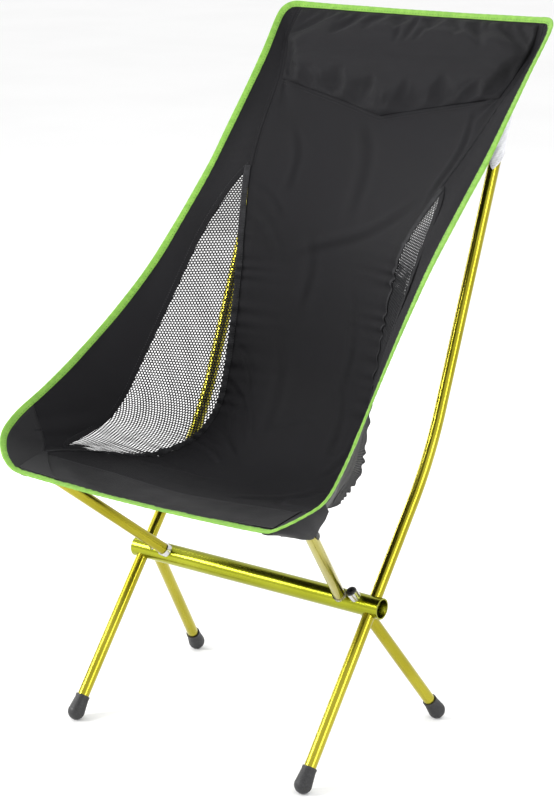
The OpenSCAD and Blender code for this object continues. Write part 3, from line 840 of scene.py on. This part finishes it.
def evenStations(line, share, t):
    # the t at which a line has run these shares of its length
    walk = travelled(line)
    return np.interp(share, walk / walk[-1], t)


tapePlan = {
    "width": 0.0088, "thickness": 0.0013, "lift": 0.0013, "spacing": 0.0022, "from": 0.289, "to": 0.93,
    "stitchInset": 0.0014,
    "spread": 0.7, "spreadFrom": 0.62, "spreadTo": 0.72,   # how much wider it lies under the seat, and where
}


def makeTape(plan, side):
    # follows the seam at half its width to the mesh side, riding on the gathers
    t = np.linspace(plan["from"], plan["to"], 900)
    width = sideWidth(t)
    push = seamNormal(t, side) * gather(t, side)[:, None]
    wider = 1 + plan["spread"] * smooth(t, plan["spreadFrom"], plan["spreadTo"])
    centre = sidePoint(t, plan["width"] * 0.48 * wider / width, side) + push
    path, share = evenPath(centre, plan["spacing"])
    even = evenStations(centre, share, t)
    inward = unit(sidePoint(even, np.full_like(even, 0.5), side)
                  - sidePoint(even, np.zeros_like(even), side))
    normal = unit(np.cross(unit(np.gradient(path, axis=0)), inward)) * side
    path = path + normal * plan["lift"]
    wider = 1 + plan["spread"] * smooth(even, plan["spreadFrom"], plan["spreadTo"])
    step = np.arange(len(path))
    wobble = 0.00012 * np.sin(step * 0.9) * np.sin(step * 0.13)
    tape = carried("seamTape" + sideNames[side], path, inward, normal, blackTape, plan["width"],
                   plan["thickness"], widths=wider + 0.05 * np.sin(step * 0.21), lifts=wobble)
    onSling(tape, "mesh_tape" + nodeSides[side])
    for number, edge in enumerate((-1, 1)):
        line = (path + inward * edge * (plan["width"] * wider / 2 - plan["stitchInset"])[:, None]
                + normal * plan["thickness"] / 2)
        onSling(stitches(f"seamTapeStitches{sideNames[side]}{number}", line, normal, blackThread))


hemPlan = {"width": 0.0085, "thickness": 0.0026, "spacing": 0.0022, "over": 0.0022, "pucker": 0.0002,
           "puckerPitch": 0.014, "stitchRows": (-0.28, 0.34)}   # rows as shares of the width


def makeMeshHem(plan, side):
    # the wing's edge folded over the mesh along the outline of the opening
    t = np.linspace(slingPlan["meshTop"] + 0.0005, slingPlan["meshEnd"] - 0.0005, 4000)
    outline = sidePoint(t, meshReach(t), side)
    path, share = evenPath(outline, plan["spacing"])
    even = evenStations(outline, share, t)
    across = unit(sidePoint(even, np.ones_like(even), side)
                  - sidePoint(even, np.zeros_like(even), side))
    ahead = unit(np.gradient(path, axis=0))
    down = unit(np.gradient(sidePoint(even, np.full_like(even, 0.4), side), axis=0))
    normal = unit(np.cross(down, across)) * side
    outward = unit(np.cross(normal, ahead)) * side
    outward *= np.where(np.sum(outward * across, axis=1, keepdims=True) < -0.5, -1, 1)
    path = path + outward * (plan["width"] / 2 - plan["over"])
    pucker = plan["pucker"] * np.sin(travelled(path) * 2 * math.pi / plan["puckerPitch"])
    onSling(carried("meshHem" + sideNames[side], path, outward, normal, blackCloth, plan["width"],
                    plan["thickness"], lifts=pucker))
    for number, edge in enumerate(plan["stitchRows"]):
        line = path + outward * edge * plan["width"] + normal * (plan["thickness"] / 2 - 0.0001)
        onSling(stitches(f"meshHemStitches{sideNames[side]}{number}", line, normal, blackThread))


for side in (-1, 1):
    makeTape(tapePlan, side)
    makeMeshHem(hemPlan, side)
print("seam tapes and mesh hems are made")

# Edge binding, once round the sling

bindingPlan = {
    "width": 0.0094, "thickness": 0.0031, "spacing": 0.0026, "pucker": 0.00016, "puckerPitch": 0.0115,
    "stitchInset": 0.0026, "stitchPitch": 0.0046, "stitchShare": 0.66, "stitchRadius": 0.0006,
    "lapFrom": 0.562, "lapTo": 0.586,       # where on the right edge its two ends overlap, as t
}


def rollingMean(values, reach):
    # each row becomes the mean of its neighbours on the closed loop
    total = sum(np.roll(values, k, axis=0) for k in range(-reach, reach + 1))
    return total / (2 * reach + 1)


def edgeLoop(spacing):
    # down the right edge, along the front, up the left edge and along the top
    t = np.linspace(0, 1, 1500)
    v = np.linspace(1, -1, 400)[1:-1]
    ones = np.ones_like(v)
    parts, aims = [], []
    for side, order in ((1, t), (-1, t[::-1])):
        parts.append(sidePoint(order, np.ones_like(order), side))
        aims.append(sidePoint(order, np.full_like(order, 0.5), side))
        end, inner = (1, 0.96) if side > 0 else (0, 0.04)
        parts.append(centrePoint(ones * end, v * side))
        aims.append(centrePoint(ones * inner, v * side))
    line, aim = np.concatenate(parts), np.concatenate(aims)
    line = np.vstack([line, line[:1]])
    aim = np.vstack([aim, aim[:1]])
    walk = travelled(line)
    count = int(walk[-1] / spacing)
    even = np.arange(count) * walk[-1] / count
    path = rollingMean(alongWalk(even, walk, line), 3)
    inward = rollingMean(alongWalk(even, walk, unit(aim - line)), 6)
    ahead = unit(np.roll(path, -1, axis=0) - np.roll(path, 1, axis=0))
    inward = unit(inward - ahead * np.sum(inward * ahead, axis=1, keepdims=True))
    normal = np.cross(inward, ahead)
    normal *= np.sign(normal[:, 2:3].mean())
    return path, inward, normal, even


def makeBinding(plan):
    # a closed ring of tape with a wandering pucker, and stitches along its inner side on both faces
    path, inward, normal, even = edgeLoop(plan["spacing"])
    pucker = plan["pucker"] * np.sin(even * 2 * math.pi / plan["puckerPitch"] + 1.2 * np.sin(even * 40))
    binding = carried("edgeBinding", path, inward, normal, limeTape, plan["width"], plan["thickness"],
                      count=18, closed=True, squareness=0.5, widths=1 + 0.03 * np.sin(even * 57),
                      lifts=pucker)
    onSling(binding, "edge_binding")
    inset = plan["width"] / 2 - plan["stitchInset"]
    for name, sign in (("Top", 1), ("Under", -1)):
        up = normal * sign
        line = path + inward * inset + up * (plan["thickness"] / 2 - 0.0002) + normal * pucker[:, None]
        onSling(stitches("bindingStitches" + name, line, up, limeThread, pitch=plan["stitchPitch"],
                         share=plan["stitchShare"], radius=plan["stitchRadius"]))
    return path, inward, normal


edgePath, edgeInward, edgeNormal = makeBinding(bindingPlan)

lapPlan = {"grow": 0.0009, "threads": 14, "threadLength": 0.006, "threadRadius": 0.00022, "seed": 4}


def makeLap(plan, binding):
    # where the binding's two ends overlap: a second turn of tape, with a few loose threads at its raw end
    t = np.linspace(binding["lapFrom"], binding["lapTo"], 14)
    gaps = edgePath[None] - sidePoint(t, np.ones_like(t))[:, None]
    near = np.argmin(np.linalg.norm(gaps, axis=2), axis=1)
    span = np.arange(near.min(), near.max() + 1)
    path, inward, normal = edgePath[span], edgeInward[span], edgeNormal[span]
    onSling(carried("bindingLap", path, inward, normal, limeTape, binding["width"] + plan["grow"],
                    binding["thickness"] + plan["grow"], count=18, squareness=0.5))
    rng = np.random.default_rng(plan["seed"])
    ahead = unit(path[-1] - path[-2])
    place = rng.uniform(-0.45, 0.45, plan["threads"]) * binding["width"]
    root = path[-1] + inward[-1] * place[:, None] + normal[-1] * binding["thickness"] * 0.5
    way = unit(ahead + inward[-1] * rng.normal(0, 0.35, (plan["threads"], 1))
               + normal[-1] * rng.normal(0.1, 0.2, (plan["threads"], 1)))
    tip = root + way * (plan["threadLength"] * rng.uniform(0.4, 1.0, (plan["threads"], 1)))
    over = unit(np.cross(way, normal[-1])) * plan["threadRadius"]
    up = unit(np.cross(over, way)) * plan["threadRadius"]
    ring = [root + over, root + up, root - over, root - up]
    onSling(spindles("bindingFray", root - way * 0.001, ring, tip, limeThread))


makeLap(lapPlan, bindingPlan)
print("edge binding is made")

# Headrest pillow

padPlan = {
    "top": 0.014, "lowMiddle": 0.212, "lowSide": 0.172, "side": 0.965,   # its outline, as t and v
    "rows": 34, "columns": 90,
    "start": 0.006, "full": 0.013, "base": 0.0007,   # height before it is blown up, at most, and under it
    "pressure": 3.2, "slack": -0.05, "frames": 18,
    "foldDepth": 0.0018, "foldPitch": 0.034,
    "stitchRows": (0.0025, 0.006),                   # below its lower seam, as t
}


def lowSeam(plan, v):
    # t of the pillow's lower seam: straight from the middle to each side
    return plan["lowMiddle"] + (plan["lowSide"] - plan["lowMiddle"]) * np.abs(v)


def padGrid(plan):
    # u runs from the top seam to the lower one, v from side to side
    u, v = np.meshgrid(np.linspace(0, 1, plan["rows"]), np.linspace(-1, 1, plan["columns"]), indexing="ij")
    v = v * plan["side"]
    t = plan["top"] + (lowSeam(plan, v) - plan["top"]) * u
    return u, v, t


def puff(u, v, plan):
    # full in the middle and thin along its four seams: sqrt(1 - (2u - 1)^4) sqrt(1 - (v / side)^6)
    return np.sqrt(1 - (2 * u - 1) ** 4) * np.sqrt(1 - (v / plan["side"]) ** 6)


def inflate(piece, group, plan):
    # cloth with air pressure inside and its seams pinned, then its shape at the last frame is kept
    cloth = piece.modifiers.new("pillow", "CLOTH")
    settings = cloth.settings
    settings.quality, settings.mass = 6, 0.2
    settings.tension_stiffness = settings.compression_stiffness = 12
    settings.shear_stiffness, settings.bending_stiffness = 4, 0.6
    settings.use_pressure, settings.uniform_pressure_force = True, plan["pressure"]
    settings.shrink_min = plan["slack"]
    settings.vertex_group_mass = group
    settings.effector_weights.gravity = 0
    cloth.collision_settings.use_collision = False
    cloth.collision_settings.use_self_collision = False
    scene = bpy.context.scene
    cloth.point_cache.frame_start, cloth.point_cache.frame_end = 1, plan["frames"]
    for number in range(1, plan["frames"] + 1):
        scene.frame_set(number)
    shown = piece.evaluated_get(bpy.context.evaluated_depsgraph_get())
    blown = np.zeros(len(shown.data.vertices) * 3, np.float32)
    shown.data.vertices.foreach_get("co", blown)
    piece.modifiers.remove(cloth)
    scene.frame_set(1)
    return blown.reshape(-1, 3).astype(float)


def makePad(plan):
    # an upper cloth and a lower one on the panel, sewn together along their outline
    u, v, t = padGrid(plan)
    base = centrePoint(t, v)
    normal = gridNormals(base)
    rim = (u <= 0) | (u >= 1) | (np.abs(v) >= plan["side"] - 1e-9)
    height = plan["base"] + 0.0004 + plan["start"] * puff(u, v, plan) * ~rim
    upper = base + normal * height[..., None]
    lower = base + normal * plan["base"]
    rows, columns = u.shape
    count = rows * columns
    points = np.concatenate([upper.reshape(-1, 3), lower.reshape(-1, 3)])
    top = np.array(gridFaces(rows, columns))
    under = top[:, ::-1] + count
    edge = np.concatenate([np.arange(columns), np.arange(1, rows) * columns + columns - 1,
                           (rows - 1) * columns + np.arange(columns - 2, -1, -1),
                           np.arange(rows - 2, 0, -1) * columns])
    after = np.roll(edge, -1)
    wall = np.stack([edge, after, after + count, edge + count], axis=1)
    uv = centreUv(t, v).reshape(-1, 2)
    pad = newPiece("headrestPad", points, np.concatenate([top, under, wall]).tolist(), padCloth,
                   np.concatenate([uv, uv]))
    turnOut(pad)
    group = pad.vertex_groups.new(name="seams")
    held = np.concatenate([np.flatnonzero(rim.ravel()), np.arange(count, 2 * count)])
    group.add(held.tolist(), 1.0, "REPLACE")
    blown = inflate(pad, group.name, plan)[:count].reshape(rows, columns, 3)
    pad.vertex_groups.clear()
    rise = np.sum((blown - lower) * normal, axis=-1)
    slide = (blown - lower) - normal * rise[..., None]
    lift = np.clip(rise, 0.0004, plan["full"])
    inner = puff(u, v, plan)
    x, down = along("seam", t)[..., 0] * v, seamLength(t)
    level = waves(x * 0.25, down, plan["foldPitch"], 31, 0.25, math.pi / 2) * 0.7
    ends = np.exp(-((plan["side"] - np.abs(v)) / 0.16) ** 2)
    angle = np.arctan2(u - 0.72, (plan["side"] - np.abs(v)) * 1.6)
    fan = np.sin(angle * 11 + np.sign(v)) * ends
    lift = lift + plan["foldDepth"] * inner * (level + 0.8 * fan)
    shaped = lower + normal * np.maximum(lift, 0.0004)[..., None] + slide
    pad.data.vertices.foreach_set("co", np.concatenate([shaped.reshape(-1, 3), lower.reshape(-1, 3)])
                                  .astype(np.float32).ravel())
    pad.data.update()
    finer = pad.modifiers.new("finer", "SUBSURF")
    finer.levels = finer.render_levels = 1
    onSling(pad, "headrest_pad")


def padOutline(plan, inset, lift):
    # a line along the pillow's lower seam from left to right, the inset below it
    v = np.linspace(-plan["side"] + 0.004, plan["side"] - 0.004, 400)
    t = lowSeam(plan, v) + inset
    path = centrePoint(t, v)
    up = unit(np.cross(centrePoint(t + 0.01, v) - path, centrePoint(t, v + 0.01) - path))
    return path + up * lift, up


makePad(padPlan)
for number, inset in enumerate(padPlan["stitchRows"]):
    line, up = padOutline(padPlan, inset, 0.0009)
    onSling(stitches(f"padStitches{number}", line, up, blackThread, pitch=0.004, radius=0.0004))
print("headrest is made")

# Front hem, corner pieces and plain seams

frontPlan = {"from": 0.848, "drop": 0.1, "bow": 2.5, "to": 0.994, "side": 0.985, "lift": 0.0011,
             "thickness": 0.0010, "rows": 60, "columns": 160, "waveDepth": 0.0005,
             "stitchRows": (0.0015, 0.008)}   # behind its rear edge, as t


def hemStart(plan, v):
    # where the strip begins, from + drop |v|^bow: furthest back in the middle
    return plan["from"] + plan["drop"] * np.abs(v) ** plan["bow"]


def makeFrontBand(plan):
    # the doubled strip across the front, above the panel and, folded round, below it
    u, v = np.meshgrid(np.linspace(0, 1, plan["rows"]),
                       np.linspace(-plan["side"], plan["side"], plan["columns"]), indexing="ij")
    start = hemStart(plan, v)
    t = start + (plan["to"] - start) * u
    point = centreShape(t, v, centrePlan)
    normal = gridNormals(point)
    uv = centreUv(t, v)
    soft = plan["waveDepth"] * waves(uv[..., 0], uv[..., 1], 0.05, 41, 0.8) * smooth(u, 0, 0.15)
    for name, sign, nodes in (("frontBand", 1, ()), ("frontHem", -1, ("front_hem",))):
        sheet = clothSheet(name, point + normal * (sign * plan["lift"] + soft)[..., None], uv, liningCloth,
                           plan["thickness"])
        onSling(sheet, *nodes)
    for number, inset in enumerate(plan["stitchRows"]):
        v = np.linspace(-plan["side"], plan["side"], 500)
        t = hemStart(plan, v) + inset
        rows = centreShape(np.stack([t - 0.004, t, t + 0.004]), np.stack([v, v, v]), centrePlan)
        up = gridNormals(rows)[1]
        onSling(stitches(f"frontStitches{number}", rows[1] + up * (plan["lift"] + 0.0008), up, blackThread,
                         pitch=0.004, radius=0.0004))


makeFrontBand(frontPlan)

cornerPlan = {
    "rows": 26, "columns": 44, "lift": 0.0012, "thickness": 0.0009,
    "low": 0.03, "high": 0.985,                                      # from the seam to the edge, as w
    "lowT": 0.936, "slope": 0.27, "turn": 0.163, "endT": 0.991,      # the outline's line, see below
    "innerLift": 2.1, "underEdge": 0.003,
}


def makeCorner(plan, side):
    # the doubled front corner: from a seam at t = lowT - slope w^2 to the edge, on both faces of the wing,
    # and on the centre panel out to the line 1 - |v| = (t - lowT) / turn
    w, u = np.meshgrid(np.linspace(plan["low"], plan["high"], plan["columns"]),
                       np.linspace(0, 1, plan["rows"]), indexing="xy")
    start = plan["lowT"] - plan["slope"] * w ** 2
    t = start + (plan["endT"] - start) * u
    share = w * (1 - plan["underEdge"] / sideWidth(t))
    base = sidePoint(t, share, side)
    normal = gridNormals(base) * side
    fromSeam = share * sideWidth(t)
    push = gather(t, side) * np.exp(-fromSeam / wingPlan["gatherFade"])
    outer = base + seamNormal(t, side) * push[..., None]
    uv = np.stack([fromSeam, seamLength(t)], axis=-1)
    q, r = np.meshgrid(np.linspace(0.02, 1, plan["rows"]), np.linspace(0, 1, plan["columns"]),
                       indexing="ij")
    innerT = plan["lowT"] + (plan["endT"] - plan["lowT"]) * q
    innerV = 0.998 - r * (innerT - plan["lowT"]) / plan["turn"]
    inner = centreShape(innerT, innerV * side, centrePlan)
    innerNormal = gridNormals(inner) * -side
    innerUv = centreUv(innerT, innerV)
    wing, node = "sideWing" + sideNames[side], "corner_gusset" + nodeSides[side]
    layers = (("cornerTop", 1, outer, normal, uv, wing, (), side < 0),
              ("cornerUnder", -1, outer, normal, uv, wing, (node,), side < 0),
              ("cornerInner", plan["innerLift"], inner, innerNormal, innerUv, "centrePanel", (), side > 0))
    for name, lifts, points, up, place, under, nodes, flip in layers:
        sheet = clothSheet(name + sideNames[side], points + up * lifts * plan["lift"], place, liningCloth,
                           plan["thickness"], flip=flip)
        onSling(sheet, *nodes)
    for number, row in enumerate((0, 2)):
        line = (outer + normal * (plan["lift"] + 0.0006))[row]
        onSling(stitches(f"cornerStitches{sideNames[side]}{number}", line, normal[row], blackThread))
    line = (inner + innerNormal * (plan["innerLift"] * plan["lift"] + 0.0006))[:, -2]
    onSling(stitches(f"cornerStitches{sideNames[side]}2", line, innerNormal[:, -2], blackThread))


weltPlan = {"width": 0.0042, "thickness": 0.0024, "spacing": 0.003, "from": 0.012, "to": 0.290,
            "stitchOut": 0.0034, "stitchLift": 0.0009}


def makeWelt(plan, side):
    # the seam between the centre panel and the wing: a folded ridge with a row of stitches on each side
    t = np.linspace(plan["from"], plan["to"], 500)
    path, share = evenPath(sidePoint(t, np.zeros_like(t), side), plan["spacing"])
    normal = seamNormal(evenStations(along("seam", t), share, t), side)
    inward = unit(np.cross(normal, unit(np.gradient(path, axis=0))))
    onSling(carried(f"seamWelt{sideNames[side]}0", path, inward, normal, blackCloth, plan["width"],
                    plan["thickness"]))
    for row, edge in enumerate((-1, 1)):
        line = path + inward * edge * plan["stitchOut"] + normal * plan["stitchLift"]
        onSling(stitches(f"weltStitches{sideNames[side]}0{row}", line, normal, blackThread))


for side in (-1, 1):
    makeCorner(cornerPlan, side)
    makeWelt(weltPlan, side)
print("front band, corners and seams are made")

# Pole pockets

polePlan = {
    # a point on each pole of the right side, its direction, and how far its tip is from that point
    "backFoot": (0.187, 0.0542, 0.3640), "backWay": (0.0, 0.3714, 0.9285), "backTip": 0.476,
    "seatFoot": (0.1393, -0.07855, 0.2000), "seatWay": (0.294, -0.717, 0.632), "seatTip": 0.280,
    "pastTip": 0.0016,
}


def poleFrame(foot, way, side, up=(0, 0, 1)):
    # a point on the pole, its direction, the direction nearest to up across it, and the third
    foot, way = np.array(foot) * [side, 1, 1], unit(np.array(way, float) * [side, 1, 1])
    over = unit(np.array(up, float) - way * np.dot(up, way))
    return foot, way, over, np.cross(way, over)


backPocketPlan = {
    "mouth": 0.388, "rise": 0.036,   # where the mouth's lowest point is along the pole, and its slant
    "point": 24,                     # where round the pole, in degrees, the mouth hangs lowest
    "radius": 0.0096, "wall": 0.0012, "rows": 60, "columns": 72,
}


def makeBackPocket(plan, side):
    # a webbing sleeve: the mouth's height is |sin| of half the angle from its lowest point, the radius
    # pinches to a dome at the tip, and soft folds run round it
    foot, way, over, across = poleFrame(polePlan["backFoot"], polePlan["backWay"], side, (0, -1, 0))
    a = np.linspace(0, 2 * math.pi, plan["columns"], endpoint=False)[None, :]
    u = np.linspace(0, 1, plan["rows"])[:, None]
    tip = polePlan["backTip"] + polePlan["pastTip"]
    turned = (a - side * math.radians(plan["point"])) / 2
    start = plan["mouth"] + plan["rise"] * np.abs(np.sin(turned)) ** 1.3
    s = start + (tip - start) * u
    dome = np.sqrt(np.clip(1 - (np.clip(u - 0.86, 0, 1) / 0.14) ** 2.6, 0, 1))
    folds = 0.0003 * np.sin(3 * a + 18 * u) * np.sin(9 * u) + 0.0002 * np.sin(5 * a - 31 * u)
    r = plan["radius"] + 0.0003 * (1 - smooth(u, 0, 0.12)) + folds * (1 - smooth(u, 0.8, 1))
    r = r * np.maximum(dome, 0.02)
    point = (foot + way * s[..., None]
             + (over * (r * np.cos(a))[..., None] + across * (r * np.sin(a))[..., None]))
    rows, columns = plan["rows"], plan["columns"]
    uv = np.stack(np.broadcast_arrays(a * plan["radius"], s), axis=-1).reshape(-1, 2)
    faces = gridFaces(rows, columns, loopColumns=True) + [list(range((rows - 1) * columns, rows * columns))]
    pocket = newPiece("backPocket" + sideNames[side], point.reshape(-1, 3), faces, greyWebbing, uv)
    turnOut(pocket)
    wall = pocket.modifiers.new("thickness", "SOLIDIFY")
    wall.thickness, wall.offset = plan["wall"], -1
    onSling(pocket, "back_pocket" + nodeSides[side])
    row = np.vstack([point[3], point[3][:1]])
    away = unit(row - (foot + way * np.append(s[3], s[3, 0])[:, None]))
    onSling(stitches("backPocketStitches" + sideNames[side], row + away * 0.0001, away, blackThread,
                     radius=0.0003))


frontPocketPlan = {"from": 0.232, "radius": 0.0097, "open": 2.0, "wall": 0.0011, "rows": 40, "columns": 48}


def makeFrontPocket(plan, side):
    # a hood over the seat pole's end, open underneath: an arc of angles about the sling's side of the pole
    foot, way, over, across = poleFrame(polePlan["seatFoot"], polePlan["seatWay"], side)
    a = np.linspace(-plan["open"], plan["open"], plan["columns"])[None, :]
    u = np.linspace(0, 1, plan["rows"])[:, None]
    s = plan["from"] + (polePlan["seatTip"] + polePlan["pastTip"] - plan["from"]) * u
    s = s + 0.004 * (np.abs(a) / plan["open"]) ** 2 * (1 - u)
    dome = np.sqrt(np.clip(1 - (np.clip(u - 0.78, 0, 1) / 0.22) ** 2.6, 0, 1))
    r = (plan["radius"] + 0.0002 * np.sin(4 * a + 9 * u) * (1 - u)) * np.maximum(dome, 0.03)
    point = (foot + way * s[..., None] + over * (r * np.cos(a))[..., None]
             + across * (r * np.sin(a))[..., None])
    uv = np.stack(np.broadcast_arrays(a * plan["radius"], s), axis=-1)
    pocket = clothSheet("frontPocket" + sideNames[side], point, uv, liningCloth, plan["wall"])
    onSling(pocket, "front_pocket" + nodeSides[side])
    away = unit(point[2] - (foot + way * s[2][:, None]))
    onSling(stitches("frontPocketStitches" + sideNames[side], point[2] + away * 0.0006, away, blackThread))


cupPlan = {
    # the cup's lower rim from the front edge round to the side edge on the right side, in mm
    "rim": ((184, -314, 367), (201, -310, 367), (212, -303, 366), (221, -296, 365), (228, -291, 362),
            (231, -284, 360), (235, -280, 362), (238, -277, 368), (240, -275, 376), (246, -273, 385),
            (251, -273, 397)),
    "fromV": 0.92, "toT": 0.81, "bulge": 0.0045, "foldDepth": 0.0030, "folds": 3.3, "thickness": 0.0012,
    "tuck": 0.0026, "rows": 30, "columns": 90,
}


def makeCornerCup(plan, side):
    # the corner's outer skirt: straight from the edge down to the rim, plus a bulge of sin(pi s) and upright
    # folds that deepen with s; it hangs in front of the pole's end, so that the sling lifts off freely
    v = np.linspace(plan["fromV"], 1, 60)
    t = np.linspace(1, plan["toT"], 200)[1:]
    edge = np.concatenate([centrePoint(np.ones_like(v), v), sidePoint(t, np.ones_like(t))])
    inner = np.concatenate([centrePoint(np.full_like(v, 0.97), v), sidePoint(t, np.full_like(t, 0.8))])
    u = np.linspace(0, 1, plan["columns"])
    walk = travelled(edge)
    top = alongWalk(u * walk[-1], walk, edge)
    inward = unit(alongWalk(u * walk[-1], walk, inner) - top)
    rim = np.array(plan["rim"], float) * mm
    far = travelled(rim)
    near = np.linspace(0, 1, 9)[:, None] * (far[-1] * 0.04) - far[-1] * 0.02
    place = np.clip(u[None, :] * far[-1] + near, 0, far[-1])
    low = np.stack([np.interp(place, far, rim[:, k]).mean(0) for k in range(3)], axis=1)
    top = top + inward * plan["tuck"] - [0, 0, 0.0012]
    s = np.linspace(0, 1, plan["rows"])[:, None, None]
    point = top + (low - top) * s
    ends = np.sin(math.pi * np.clip(u, 0, 1)) ** 0.5
    fold = np.sin(2 * math.pi * plan["folds"] * u + 0.7 * np.sin(9 * u)) * plan["foldDepth"] * ends
    out = plan["bulge"] * np.sin(math.pi * s[..., 0]) * ends + fold * s[..., 0]
    point = point - inward * out[..., None]
    point = point * [side, 1, 1]
    uv = np.stack(np.broadcast_arrays(travelled(top)[None, :], s[..., 0] * 0.03), axis=-1)
    cup = clothSheet("cornerCup" + sideNames[side], point, uv, liningCloth, plan["thickness"], flip=side < 0)
    onSling(cup)
    away = unit(-inward * [side, 1, 1])
    onSling(stitches("cornerCupStitches" + sideNames[side], point[-3] + away * 0.0007, away, blackThread))


for side in (-1, 1):
    makeBackPocket(backPocketPlan, side)
    makeFrontPocket(frontPocketPlan, side)
    makeCornerCup(cupPlan, side)
print("pockets are made")

# Floor and surroundings


def makeStage(plan):
    # a pale floor whose tone drifts a little, under an even white sky
    half = plan["floorSize"] / 2
    material, desk, shader = newMaterial("paleFloor")
    place = desk.add("ShaderNodeTexCoord")
    drift = placed(desk, driftGroup, place.outputs["Object"], Size=1.5)
    tone = plan["floorTone"]
    colour = desk.mixColour(drift.outputs["Broad"], (tone - 0.01,) * 3, (tone + 0.01,) * 3)
    desk.tree.links.new(colour, shader.inputs["Base Color"])
    roughen(desk, shader, drift.outputs["Fine"], 0.75, 0.05)
    points = [(-half, -half, 0), (half, -half, 0), (half, half, 0), (-half, half, 0)]
    floor = newPiece("floor", points, [[0, 1, 2, 3]], material)
    world = bpy.data.worlds.new("studio")
    world.use_nodes = True
    background = world.node_tree.nodes["Background"]
    background.inputs["Color"].default_value = (plan["worldTone"],) * 3 + (1,)
    background.inputs["Strength"].default_value = plan["worldStrength"]
    bpy.context.scene.world = world


makeStage(stagePlan)
print("floor is laid")
